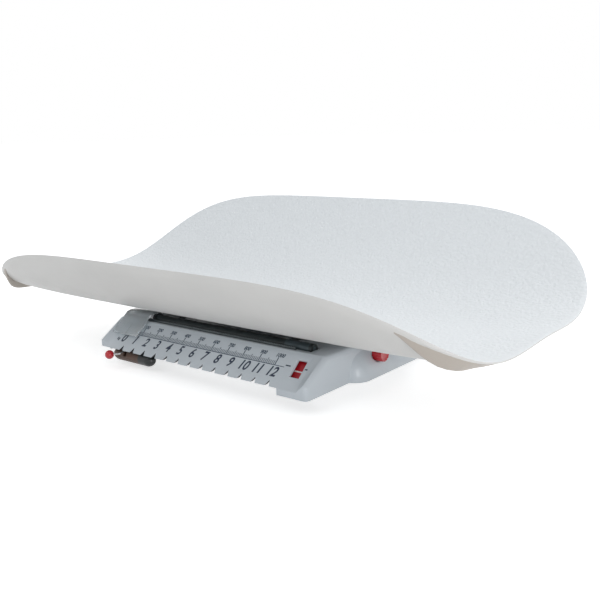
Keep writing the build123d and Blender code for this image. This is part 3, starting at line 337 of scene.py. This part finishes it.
def see_through(name, colour):
    """Clear plastic, made a little milky by age, with faint rubbing marks."""
    material, tree, shader = shader_of(name)
    shader.inputs["Base Color"].default_value = (*colour, 1)
    shader.inputs["Transmission Weight"].default_value = 0.72
    shader.inputs["IOR"].default_value = 1.3
    shader.inputs["Coat Weight"].default_value = 0.6
    shader.inputs["Coat Roughness"].default_value = 0.05
    rubbing = noise(tree, scale=500.0)
    tree.links.new(spread(tree, rubbing, low=0.02, high=0.1), shader.inputs["Roughness"])
    return material


def inked(name, colour):
    """Printed ink of a slightly uneven tone."""
    material, tree, shader = shader_of(name)
    tone = noise(tree, scale=2500.0, detail=2.0)
    tree.links.new(tinted(tree, tone, colour, share=0.25), shader.inputs["Base Color"])
    shader.inputs["Roughness"].default_value = 0.45
    return material


def finishes():
    """The material of each finish, made once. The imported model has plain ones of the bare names."""
    scene = bpy.context.scene
    tray, housing = scene.baby_scale_tray, scene.baby_scale_housing
    poise, figures = scene.baby_scale_poise, scene.baby_scale_print
    tray_skin = partial(moulded, roughness=0.42, grain=140.0, depth=0.00012, variation=0.03)
    recipes = {
        "tray_grained": partial(leather_grained, colour=tray.inside),
        "tray_smooth": partial(tray_skin, colour=tray.outside),
        # The lip's beige is darker than the smooth outside: painted shade of its down-turned faces, on a warm
        # tint of the moulding.
        "tray_lip": partial(tray_skin, colour=(0.49, 0.44, 0.39)),
        "housing_plastic": partial(
            moulded, colour=housing.shell, roughness=0.38, grain=900.0, depth=0.00004, variation=0.025,
            coat=0.08),
        # Near-black plastic painted on the notches' side walls as the shade inside them.
        "notch_dirt": partial(
            moulded, colour=(0.03, 0.035, 0.04), roughness=0.7, grain=900.0, depth=0.00004, variation=0.2),
        "zinc_sheet": partial(
            metal, colour=(0.46, 0.47, 0.48), roughness=0.38, brush=(1, 14, 14), variation=0.1),
        "rubber": partial(
            moulded, colour=housing.rubber, roughness=0.78, grain=1400.0, depth=0.00006, variation=0.2),
        "screw_steel": partial(metal, colour=(0.42, 0.42, 0.43), roughness=0.28, brush=(14, 1, 1)),
        "hard_steel": partial(metal, colour=(0.33, 0.33, 0.34), roughness=0.3, brush=(1, 12, 1)),
        "black_steel": partial(
            metal, colour=(0.02, 0.028, 0.03), roughness=0.4, brush=(8, 1, 8), variation=0.2, metallic=0.3),
        "rack_steel": partial(
            metal, colour=(0.11, 0.125, 0.13), roughness=0.34, brush=(6, 1, 6), variation=0.12, metallic=0.8),
        "rail_steel": partial(metal, colour=(0.35, 0.36, 0.37), roughness=0.36, brush=(1, 10, 10)),
        "grey_steel": partial(
            metal, colour=(0.055, 0.075, 0.085), roughness=0.42, brush=(8, 1, 8), variation=0.15,
            metallic=0.4),
        "lever_iron": partial(
            metal, colour=(0.10, 0.105, 0.11), roughness=0.55, brush=(3, 3, 3), variation=0.15, metallic=0.2,
            depth=0.00008),
        "brass": partial(
            metal, colour=poise.brass, roughness=0.42, brush=(10, 1, 1), variation=0.16, metallic=0.35),
        "pale_metal": partial(
            metal, colour=(0.74, 0.72, 0.73), roughness=0.3, brush=(10, 1, 1), variation=0.05, metallic=0.5),
        "black_plastic": partial(
            moulded, colour=(0.008, 0.011, 0.012), roughness=0.34, grain=1500.0, depth=0.00003,
            variation=0.15),
        "clear_plastic": partial(see_through, colour=(0.80, 0.85, 0.88)),
        "red_plastic": partial(
            moulded, colour=poise.red, roughness=0.28, grain=900.0, depth=0.00003, variation=0.08, coat=0.3),
        "white_plastic": partial(
            moulded, colour=(0.85, 0.85, 0.85), roughness=0.4, grain=900.0, depth=0.00002, variation=0.02),
        "scale_ink": partial(inked, colour=figures.ink),
        "fine_ink": partial(inked, colour=figures.fine_ink),
    }
    made = {}
    for name, recipe in recipes.items():
        title = "finish " + name
        made[name] = bpy.data.materials.get(title) or recipe(title)
    return made


# The tray's plan outline and its heights are power curves. The sheet thins towards the ends.
FRONT_PLAN_POWER, BACK_PLAN_POWER = 5.0, 4.7
FRONT_POWER, BACK_POWER = 4.5, 2.95
END_RISE, END_POWER, END_FADE = 0.011, 6, 0.25
END_SHEET, TAPER_START = 0.0014, 0.236
TRAY_STEPS = (104, 72)
SHEET_ROUND = 0.0005

# The lip's drop and inset at the plan angles where it has faded, at the tray's corner and at the middle.
LIP_FADED, LIP_CORNER, LIP_MIDDLE = (math.radians(turn) for turn in (50, 40, 30))
LIP_DROP = (0.0020, 0.0105, 0.0048)
LIP_INSET = (0.0020, 0.0090, 0.0130)
LIP_SKIN, LIP_ROOT_TOP, LIP_ROOT_BOTTOM = 0.0004, 0.0006, 0.0013
LIP_FOOT, LIP_FLANK = 0.0022, 0.0025
LIP_STEPS, LIP_ROUND = 60, 0.0007

# The bosses under the tray's floor rest on the rubber pads.
BOSS_X, BOSS_Y, BOSS_MIDDLE = 0.074, 0.034, 0.0497
BOSS_RADIUS, BOSS_DEPTH, BOSS_ROUND = 0.012, 0.0034, 0.0006


def plan_reach(turn):
    """How far the plan outline lies at an angle, for a half length and a half width of 1."""
    power = FRONT_PLAN_POWER if math.sin(turn) < 0 else BACK_PLAN_POWER
    return (abs(math.cos(turn)) ** power + abs(math.sin(turn)) ** power) ** (-1 / power)


def eased(value, start, end):
    """A share that goes smoothly from 0 at start to 1 at end."""
    share = min(1.0, max(0.0, (value - start) / (end - start)))
    return share * share * (3 - 2 * share)


def along_lip(ends, turn):
    """The lip's size at a plan angle, from its faded, corner and middle sizes."""
    full = ends[1] + (ends[2] - ends[1]) * eased(abs(turn), LIP_CORNER, LIP_MIDDLE)
    return ends[0] + (full - ends[0]) * eased(abs(turn), LIP_FADED, LIP_CORNER)


def tray_height(sizes, x, y):
    """Height of the tray's inner face."""
    across = min(1.0, abs(y) / sizes.half_width)
    rim, power = (sizes.front_rim, FRONT_POWER) if y < 0 else (sizes.back_rim, BACK_POWER)
    rounded = (math.hypot(across, END_FADE) - END_FADE) / (math.hypot(1, END_FADE) - END_FADE)
    rise = END_RISE * (abs(x) / sizes.half_length) ** END_POWER
    return sizes.floor_height + (rim - sizes.floor_height) * across**power + rise * (1 - rounded)


def plan_point(sizes, turn, share=1.0):
    """The point at a plan angle, at a share of the way from the middle to the plan outline."""
    reach = plan_reach(turn) * share
    return sizes.half_length * reach * math.cos(turn), sizes.half_width * reach * math.sin(turn)


def lip_point(sizes, turn, corner):
    """A corner of the lip's section under the rim of the right end, at a plan angle."""
    rim, across = plan_point(sizes, turn)
    drop, inset = along_lip(LIP_DROP, turn), along_lip(LIP_INSET, turn)
    root = inset + LIP_FOOT + LIP_FLANK
    section = (
        (LIP_SKIN, LIP_ROOT_TOP),
        (LIP_SKIN, LIP_ROOT_BOTTOM),
        (inset, drop),
        (inset + LIP_FOOT, drop),
        (root, LIP_ROOT_BOTTOM),
        (root, LIP_ROOT_TOP),
    )
    inward, down = section[corner % len(section)]
    along = rim - inward
    return along, across, tray_height(sizes, along, across) - down


def tray_lip(sizes, side, material):
    """The thickened lip under one end of the tray: a grid rolled up into a six-sided bar."""
    sides = 6
    clear_selection()
    bpy.ops.mesh.primitive_grid_add(x_subdivisions=LIP_STEPS, y_subdivisions=sides, size=2)
    lip = named("tray_lip")
    for vertex in lip.data.vertices:
        corner = round((vertex.co.y + 1) * sides / 2)
        x, y, z = lip_point(sizes, vertex.co.x * LIP_FADED, corner)
        vertex.co = (side * x, y, z)
    make_active(lip)
    bpy.ops.object.mode_set(mode="EDIT")
    bpy.ops.mesh.select_all(action="SELECT")
    bpy.ops.mesh.remove_doubles(threshold=WELD)
    bpy.ops.mesh.fill_holes(sides=0)
    bpy.ops.mesh.normals_make_consistent(inside=False)
    bpy.ops.object.mode_set(mode="OBJECT")
    bevel(lip, LIP_ROUND, segments=3, degrees=20.0)
    dress(lip, material)
    apply_all(lip)
    return lip


def tray_boss(x, y, material):
    """A round boss under the tray's floor."""
    clear_selection()
    bpy.ops.mesh.primitive_cylinder_add(
        vertices=40, radius=BOSS_RADIUS, depth=BOSS_DEPTH, location=(x, y, BOSS_MIDDLE))
    boss = named("boss")
    dress(boss, material)
    bevel(boss, BOSS_ROUND)
    apply_all(boss)
    settle(boss)
    return boss


def tray_grid(sizes):
    """The tray's inner face: a square grid drawn out to the plan outline and lifted to the trough."""
    clear_selection()
    bpy.ops.mesh.primitive_grid_add(x_subdivisions=TRAY_STEPS[0], y_subdivisions=TRAY_STEPS[1], size=2)
    tray = named("tray_shell")
    for vertex in tray.data.vertices:
        a, b = vertex.co.x, vertex.co.y
        vertex.co.x, vertex.co.y = plan_point(sizes, math.atan2(b, a), max(abs(a), abs(b)))
        vertex.co.z = tray_height(sizes, vertex.co.x, vertex.co.y)
    return tray


def thicken(sizes, tray):
    """Gives the inner face the sheet's thickness below it, thinner at the ends, in the second material."""
    wall = tray.modifiers.new("Sheet", "SOLIDIFY")
    wall.thickness = sizes.sheet
    wall.offset = -1
    wall.material_offset = 1
    wall.material_offset_rim = 1
    share = tray.vertex_groups.new(name="Share of the sheet")
    for vertex in tray.data.vertices:
        taper = eased(abs(vertex.co.x), TAPER_START, sizes.half_length)
        share.add([vertex.index], 1 - taper * (1 - END_SHEET / sizes.sheet), "REPLACE")
    wall.vertex_group = share.name
    apply_all(tray)


def trim_to_plan(sizes, tray):
    """Brings what the thickness pushed out over the plan outline back to it."""
    for vertex in tray.data.vertices:
        a, b = vertex.co.x / sizes.half_length, vertex.co.y / sizes.half_width
        beyond = math.hypot(a, b) / plan_reach(math.atan2(b, a))
        if beyond > 1:
            vertex.co.x /= beyond
            vertex.co.y /= beyond


class SCALE_OT_tray(bpy.types.Operator):
    """Models the trough tray: grained inside, smooth outside, a thickened lip under its ends"""

    bl_idname = "baby_scale.tray"
    bl_label = "Tray"

    def execute(self, context):
        sizes = context.scene.baby_scale_tray
        material = finishes()
        tray = tray_grid(sizes)
        dress(tray, material["tray_grained"], material["tray_smooth"])
        thicken(sizes, tray)
        trim_to_plan(sizes, tray)
        bevel(tray, SHEET_ROUND, degrees=50.0)
        apply_all(tray)
        bosses = [
            tray_boss(x, y, material["tray_smooth"])
            for x in (-BOSS_X, BOSS_X) for y in (-BOSS_Y, BOSS_Y)
        ]
        lips = [tray_lip(sizes, side, material["tray_lip"]) for side in (-1, 1)]
        tray = join("tray_shell", [tray] + lips + bosses)
        smooth(tray, degrees=40.0)
        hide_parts("tray")
        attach(tray, "tray")
        return {"FINISHED"}


# Edges sharper than this are rounded on the housing and the clear cover, and stay sharp in the shading.
MOULDED_DEGREES = 32.0

# Where the notches in the panel's lower edge lie, and how their side walls face, for the painted shade on
# those walls.
NOTCH_BACK, NOTCH_TOP, NOTCH_END = -0.1, 0.026, 0.1005
NOTCH_SIDEWAYS, NOTCH_FORWARD = 0.3, -0.55


def in_notch(face):
    """Whether a face of the housing is a side wall of a notch."""
    near = face.center.y < NOTCH_BACK and face.center.z < NOTCH_TOP and abs(face.center.x) < NOTCH_END
    return near and abs(face.normal.x) > NOTCH_SIDEWAYS and face.normal.y > NOTCH_FORWARD


class SCALE_OT_housing(bpy.types.Operator):
    """Rounds the moulded edges of the base housing and paints shade on the side walls of its notches"""

    bl_idname = "baby_scale.housing"
    bl_label = "Housing"

    def execute(self, context):
        sizes = context.scene.baby_scale_housing
        material = finishes()
        housing = copy_of_node("base_housing", "housing_shell")
        bevel(housing, sizes.edge_round, degrees=MOULDED_DEGREES, clamp=False)
        dress(housing, material["housing_plastic"], material["notch_dirt"])
        apply_all(housing)
        # The side walls of the notches get the near-black painted shade.
        for face in housing.data.polygons:
            if in_notch(face):
                face.material_index = 1
        smooth(housing, degrees=MOULDED_DEGREES)
        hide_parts("base_housing")
        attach(housing, "base")
        return {"FINISHED"}


# The sloping scale panel: its angle, and the point at its foot from which the print is measured.
PANEL_ANGLE = math.radians(41.85)
PANEL_FOOT = Vector((0.0, -0.107, 0.0176))
PANEL_UP = Vector((0.0, math.cos(PANEL_ANGLE), math.sin(PANEL_ANGLE)))

# Places on the panel: along it from the middle, and up it from its foot.
KILOGRAM_ZERO, KILOGRAM_STEP, KILOGRAM_UP = -0.0944, 0.01525, 0.0132
UNIT_PLACE, UNIT_HEIGHT = (-0.1012, 0.0118), 0.0029
GRAM_ZERO, GRAM_STEP, GRAM_LINE_UP = -0.0928, 0.00181, 0.0195
GRAM_LINE_MIDDLE, GRAM_LINE_LENGTH, GRAM_LINE_WIDTH = -0.0049, 0.2062, 0.0006
GRAM_FIGURE_SHIFT, GRAM_FIGURE_UP = 0.0006, 0.0288

# The dashes beside the indicator window: where each starts and ends, and how far up the panel it lies.
DASHES = ((0.0988, 0.1038, 0.0214), (0.1182, 0.1222, 0.0212))
DASH_WIDTH = 0.0011

# Every so many divisions, a line of this length and width. The first that fits is drawn.
DIVISIONS = ((10, 0.0074, 0.0009), (5, 0.0054, 0.0007), (1, 0.0040, 0.00065))

# The height of a capital, as a share of the font's size.
CAPITAL = 0.7


def on_panel(piece, along, up):
    """Lays a piece drawn on the ground plane on the scale panel."""
    place = Matrix.Translation(PANEL_FOOT + Vector((along, 0, 0)) + PANEL_UP * up)
    piece.data.transform(place @ Matrix.Rotation(PANEL_ANGLE, 4, "X"))


def figure(words, height, slant, film, weight, width=1.0):
    """Raised figures centred on the origin, as a mesh, made heavier and narrower by two shares."""
    clear_selection()
    bpy.ops.object.text_add()
    text = bpy.context.object
    text.data.body = words
    text.data.align_x = "CENTER"
    text.data.align_y = "CENTER"
    text.data.size = height / CAPITAL
    text.data.shear = slant
    text.data.offset = height * weight
    text.data.extrude = film / 2
    text.data.resolution_u = 4
    bpy.ops.object.convert(target="MESH")
    piece = bpy.context.object
    piece.scale.x = width
    settle(piece)
    return piece


def mark(width, height, film):
    """A printed line centred on the origin."""
    clear_selection()
    bpy.ops.mesh.primitive_cube_add(size=1)
    line = bpy.context.object
    line.scale = (width, height, film)
    settle(line)
    return line


def kilogram_marks(sizes):
    """The figures 0 to 12, the unit and the dashes beside the indicator window."""
    marks = []
    for number in range(13):
        piece = figure(
            str(number), sizes.kilogram_height, slant=0.27, film=sizes.film, weight=0.035, width=0.86)
        on_panel(piece, KILOGRAM_ZERO + KILOGRAM_STEP * number, KILOGRAM_UP)
        marks.append(piece)
    unit = figure("kg", UNIT_HEIGHT, slant=0.2, film=sizes.film, weight=0.05)
    on_panel(unit, *UNIT_PLACE)
    marks.append(unit)
    for start, end, up in DASHES:
        dash = mark(end - start, DASH_WIDTH, sizes.film)
        on_panel(dash, (start + end) / 2, up)
        marks.append(dash)
    return marks


def gram_marks(sizes):
    """The line under the divisions, the divisions of 10 g and the figures 100 to 1000."""
    line = mark(GRAM_LINE_LENGTH, GRAM_LINE_WIDTH, sizes.film)
    on_panel(line, GRAM_LINE_MIDDLE, GRAM_LINE_UP)
    marks = [line]
    for division in range(101):
        length, width = next(size for every, *size in DIVISIONS if division % every == 0)
        piece = mark(width, length, sizes.film)
        on_panel(piece, GRAM_ZERO + GRAM_STEP * division, GRAM_LINE_UP + length / 2)
        marks.append(piece)
    for number in range(1, 11):
        piece = figure(
            str(100 * number), sizes.gram_height, slant=0.25, film=sizes.film, weight=0.05, width=0.92)
        on_panel(piece, GRAM_ZERO + GRAM_STEP * 10 * number + GRAM_FIGURE_SHIFT, GRAM_FIGURE_UP)
        marks.append(piece)
    return marks


class SCALE_OT_print(bpy.types.Operator):
    """Prints the kilogram figures, the gram figures and the divisions on the panel"""

    bl_idname = "baby_scale.print"
    bl_label = "Scale print"

    def execute(self, context):
        sizes = context.scene.baby_scale_print
        material = finishes()
        heavy = join("kilogram_print", kilogram_marks(sizes))
        dress(heavy, material["scale_ink"])
        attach(heavy, "base")
        fine = join("gram_print", gram_marks(sizes))
        dress(fine, material["fine_ink"])
        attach(fine, "base")
        return {"FINISHED"}


COVER_ROUND = 0.0003


class SCALE_OT_gram_poise(bpy.types.Operator):
    """Rounds the edges of the gram poise's clear cover"""

    bl_idname = "baby_scale.gram_poise"
    bl_label = "Gram poise"

    def execute(self, context):
        cover = copy_of_node("gram_poise_cover", "gram_cover")
        bevel(cover, COVER_ROUND, degrees=MOULDED_DEGREES, clamp=False)
        dress(cover, finishes()["clear_plastic"])
        apply_all(cover)
        smooth(cover, degrees=MOULDED_DEGREES)
        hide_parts("gram_poise_cover")
        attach(cover, "gram_poise")
        return {"FINISHED"}


# The ball's centre, and the groove at its equator: how near its vertices lie and their scale.
BALL_CENTRE = (-0.097, -0.1135, 0.0137)
GROOVE_HEIGHT, GROOVE_SCALE = 0.0001, 0.985


class SCALE_OT_catch(bpy.types.Operator):
    """Models the catch's ball grip with its parting groove"""

    bl_idname = "baby_scale.catch"
    bl_label = "Catch ball"

    def execute(self, context):
        radius = context.scene.baby_scale_poise.ball_radius
        clear_selection()
        bpy.ops.mesh.primitive_uv_sphere_add(
            segments=40, ring_count=24, radius=radius, location=BALL_CENTRE)
        ball = named("catch_grip")
        bpy.ops.object.mode_set(mode="EDIT")
        bpy.ops.mesh.select_all(action="DESELECT")
        bpy.ops.mesh.select_mode(type="VERT")
        body = bmesh.from_edit_mesh(ball.data)
        for vertex in body.verts:
            vertex.select_set(abs(vertex.co.z) < GROOVE_HEIGHT)
        bmesh.update_edit_mesh(ball.data)
        bpy.ops.transform.resize(value=(GROOVE_SCALE, GROOVE_SCALE, 1), center_override=BALL_CENTRE)
        bpy.ops.object.mode_set(mode="OBJECT")
        dress(ball, finishes()["red_plastic"])
        settle(ball)
        smooth(ball, degrees=60.0)
        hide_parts("catch_ball")
        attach(ball, "kg_catch")
        return {"FINISHED"}


# Where the knob starts on its axis, which runs along x.
KNOB_ROOT = (0.1371, -0.020, 0.0315)
KNOB_ROUND = 0.0004
FLUTES, FLUTE_WIDTH, FLUTE_SCALE = 14, 0.4, 0.925

# Each ring of the dished face: its size as a share of the one before, and how far it sinks.
KNOB_RINGS = ((0.84, 0), (0.90, 0.0006), (0.45, 0.0003))


class SCALE_OT_knob(bpy.types.Operator):
    """Models the fluted zero knob with its dished face"""

    bl_idname = "baby_scale.knob"
    bl_label = "Zero knob"

    def execute(self, context):
        sizes = context.scene.baby_scale_poise
        root, y, z = KNOB_ROOT
        pitch = 360 / FLUTES
        clear_selection()
        bpy.ops.mesh.primitive_cylinder_add(
            vertices=6 * FLUTES, radius=sizes.knob_radius, depth=sizes.knob_length,
            location=(root + sizes.knob_length / 2, y, z), rotation=(0, math.pi / 2, 0))
        knob = named("zero_grip")
        settle(knob)
        bpy.ops.object.mode_set(mode="EDIT")
        bpy.ops.mesh.select_all(action="DESELECT")
        bpy.ops.mesh.select_mode(type="VERT")
        body = bmesh.from_edit_mesh(knob.data)
        for vertex in body.verts:
            turn = math.degrees(math.atan2(vertex.co.z - z, vertex.co.y - y)) % pitch
            vertex.select_set(min(turn, pitch - turn) < pitch * FLUTE_WIDTH / 2)
        body.select_flush(False)
        bmesh.update_edit_mesh(knob.data)
        bpy.ops.transform.resize(value=(1, FLUTE_SCALE, FLUTE_SCALE), center_override=KNOB_ROOT)
        bpy.ops.mesh.select_all(action="DESELECT")
        bpy.ops.mesh.select_mode(type="FACE")
        body = bmesh.from_edit_mesh(knob.data)
        for face in body.faces:
            face.select_set(face.normal.x > 0.9)
        bmesh.update_edit_mesh(knob.data)
        for scale, sink in KNOB_RINGS:
            bpy.ops.mesh.extrude_region_move(TRANSFORM_OT_translate={"value": (-sink, 0, 0)})
            bpy.ops.transform.resize(value=(1, scale, scale), center_override=KNOB_ROOT)
        bpy.ops.object.mode_set(mode="OBJECT")
        bevel(knob, KNOB_ROUND, degrees=40.0)
        dress(knob, finishes()["red_plastic"])
        apply_all(knob)
        smooth(knob, degrees=35.0)
        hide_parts("zero_knob")
        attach(knob, "zero_knob")
        return {"FINISHED"}


# Nodes whose finish differs from the one their slot names. The kg rail is black here instead of its zinc, as
# painted shade behind the notches.
OWN_FINISH = {"gram_rack": "rack_steel", "kg_rail": "black_steel", "gram_poise_index": "black_plastic"}


class SCALE_OT_mechanism(bpy.types.Operator):
    """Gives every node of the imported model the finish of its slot"""

    bl_idname = "baby_scale.mechanism"
    bl_label = "Mechanism"

    def execute(self, context):
        material = finishes()
        for row in frame["record"]["subparts"]:
            node = row["node"]
            finish = OWN_FINISH.get(node, row["material_slot"])
            if finish in material:
                dress(frame["nodes"][node], material[finish])
        return {"FINISHED"}


# The camera's place and turn were solved from the photo.
CAMERA_PLACE = (0.47727, -0.53674, 0.21192)
CAMERA_YAW, CAMERA_PITCH, CAMERA_ROLL = (math.radians(turn) for turn in (39.115, -12.310, -1.417))

LAMP_TARGET = Vector((0.0, 0.0, 0.07))
FLOOR_GLOW = 0.6


def lamp(name, place, size, power):
    """A soft square lamp that points at the scale."""
    light = bpy.data.lights.new(name, "AREA")
    light.size = size
    light.energy = power
    holder = bpy.data.objects.new(name, light)
    bpy.context.scene.collection.objects.link(holder)
    holder.location = place
    holder.rotation_euler = (LAMP_TARGET - Vector(place)).to_track_quat("-Z", "Y").to_euler()


def background_rays(tree):
    """1 for the rays that show the background: from the camera, off metal and through glass."""
    path = tree.nodes.new("ShaderNodeLightPath")
    shown = path.outputs["Is Camera Ray"]
    for ray in ("Is Glossy Ray", "Is Transmission Ray"):
        either = tree.nodes.new("ShaderNodeMath")
        either.operation = "MAXIMUM"
        tree.links.new(shown, either.inputs[0])
        tree.links.new(path.outputs[ray], either.inputs[1])
        shown = either.outputs["Value"]
    return shown


def floor_finish():
    """A matt, nearly white floor that glows a little where the camera sees it."""
    material, tree, shader = shader_of("pale_floor")
    paint = tinted(tree, noise(tree, scale=3.0), (0.93, 0.93, 0.93), share=0.004)
    tree.links.new(paint, shader.inputs["Base Color"])
    shader.inputs["Roughness"].default_value = 0.9
    shader.inputs["Specular IOR Level"].default_value = 0.0
    glow = tree.nodes.new("ShaderNodeMath")
    glow.operation = "MULTIPLY"
    glow.inputs[1].default_value = FLOOR_GLOW
    tree.links.new(background_rays(tree), glow.inputs[0])
    tree.links.new(glow.outputs["Value"], shader.inputs["Emission Strength"])
    shader.inputs["Emission Color"].default_value = (1, 1, 1, 1)
    return material


def surroundings(strength):
    """A world that lights the scale like a pale sky and shows as plain white."""
    world = bpy.data.worlds.new("surroundings")
    world.use_nodes = True
    tree = world.node_tree
    sky = tree.nodes["Background"]
    sky.inputs["Color"].default_value = (0.94, 0.97, 1.0, 1)
    sky.inputs["Strength"].default_value = strength
    white = tree.nodes.new("ShaderNodeBackground")
    white.inputs["Color"].default_value = (1, 1, 1, 1)
    mix = tree.nodes.new("ShaderNodeMixShader")
    tree.links.new(background_rays(tree), mix.inputs["Fac"])
    tree.links.new(sky.outputs["Background"], mix.inputs[1])
    tree.links.new(white.outputs["Background"], mix.inputs[2])
    tree.links.new(mix.outputs["Shader"], tree.nodes["World Output"].inputs["Surface"])
    return world


def camera_turn():
    """The camera's turn, as a matrix with its right, up and backward directions as columns."""
    flat = math.cos(CAMERA_PITCH)
    ahead = Vector((-math.sin(CAMERA_YAW) * flat, math.cos(CAMERA_YAW) * flat, math.sin(CAMERA_PITCH)))
    level = Vector((math.cos(CAMERA_YAW), math.sin(CAMERA_YAW), 0))
    down = ahead.cross(level)
    right = level * math.cos(CAMERA_ROLL) - down * math.sin(CAMERA_ROLL)
    below = level * math.sin(CAMERA_ROLL) + down * math.cos(CAMERA_ROLL)
    return Matrix((right, -below, -ahead)).transposed().to_4x4()


class SCALE_OT_stage(bpy.types.Operator):
    """Sets up the pale floor, the lamps and the camera"""

    bl_idname = "baby_scale.stage"
    bl_label = "Stage"

    def execute(self, context):
        sizes = context.scene.baby_scale_stage
        clear_selection()
        bpy.ops.mesh.primitive_plane_add(size=sizes.floor_size)
        floor = named("floor")
        dress(floor, floor_finish())

        lamp("key", (-0.7, -1.3, 1.5), size=1.3, power=sizes.key_power)
        lamp("fill", (1.45, -0.85, 0.24), size=0.45, power=sizes.fill_power)
        lamp("top", (0.2, 1.2, 1.5), size=1.8, power=sizes.top_power)

        camera = bpy.data.cameras.new("camera")
        camera.sensor_width = 36
        camera.lens = sizes.lens
        camera.clip_start = 0.02
        camera.clip_end = 50
        holder = bpy.data.objects.new("camera", camera)
        context.scene.collection.objects.link(holder)
        holder.matrix_world = Matrix.Translation(CAMERA_PLACE) @ camera_turn()
        context.scene.camera = holder
        context.scene.world = surroundings(sizes.sky_strength)
        context.scene.view_settings.view_transform = "Standard"
        return {"FINISHED"}


class SCALE_PT_panel(bpy.types.Panel):
    """Lists the pieces of the scale"""

    bl_idname = "SCALE_PT_panel"
    bl_label = "Baby scale"
    bl_space_type = "VIEW_3D"
    bl_region_type = "UI"
    bl_category = "Baby scale"

    def draw(self, context):
        for operator in OPERATORS:
            self.layout.operator(operator.bl_idname)


GROUPS = {
    "baby_scale_tray": TraySizes,
    "baby_scale_housing": HousingSizes,
    "baby_scale_print": PrintSizes,
    "baby_scale_poise": PoiseSizes,
    "baby_scale_stage": StageSizes,
}
OPERATORS = (
    SCALE_OT_mechanism,
    SCALE_OT_tray,
    SCALE_OT_housing,
    SCALE_OT_print,
    SCALE_OT_gram_poise,
    SCALE_OT_catch,
    SCALE_OT_knob,
    SCALE_OT_stage,
)


def register():
    """Registers the sizes, the operators and the panel."""
    for name, group in GROUPS.items():
        bpy.utils.register_class(group)
        setattr(bpy.types.Scene, name, bpy.props.PointerProperty(type=group))
    for operator in OPERATORS:
        bpy.utils.register_class(operator)
    bpy.utils.register_class(SCALE_PT_panel)


def unregister():
    """Takes them away again."""
    bpy.utils.unregister_class(SCALE_PT_panel)
    for operator in reversed(OPERATORS):
        bpy.utils.unregister_class(operator)
    for name, group in GROUPS.items():
        delattr(bpy.types.Scene, name)
        bpy.utils.unregister_class(group)


def main():
    """Makes every piece in order."""
    register()
    bpy.ops.baby_scale.mechanism()
    bpy.ops.baby_scale.tray()
    bpy.ops.baby_scale.housing()
    bpy.ops.baby_scale.print()
    bpy.ops.baby_scale.gram_poise()
    bpy.ops.baby_scale.catch()
    bpy.ops.baby_scale.knob()
    bpy.ops.baby_scale.stage()
    clear_selection()


if __name__ == "__main__":
    main()
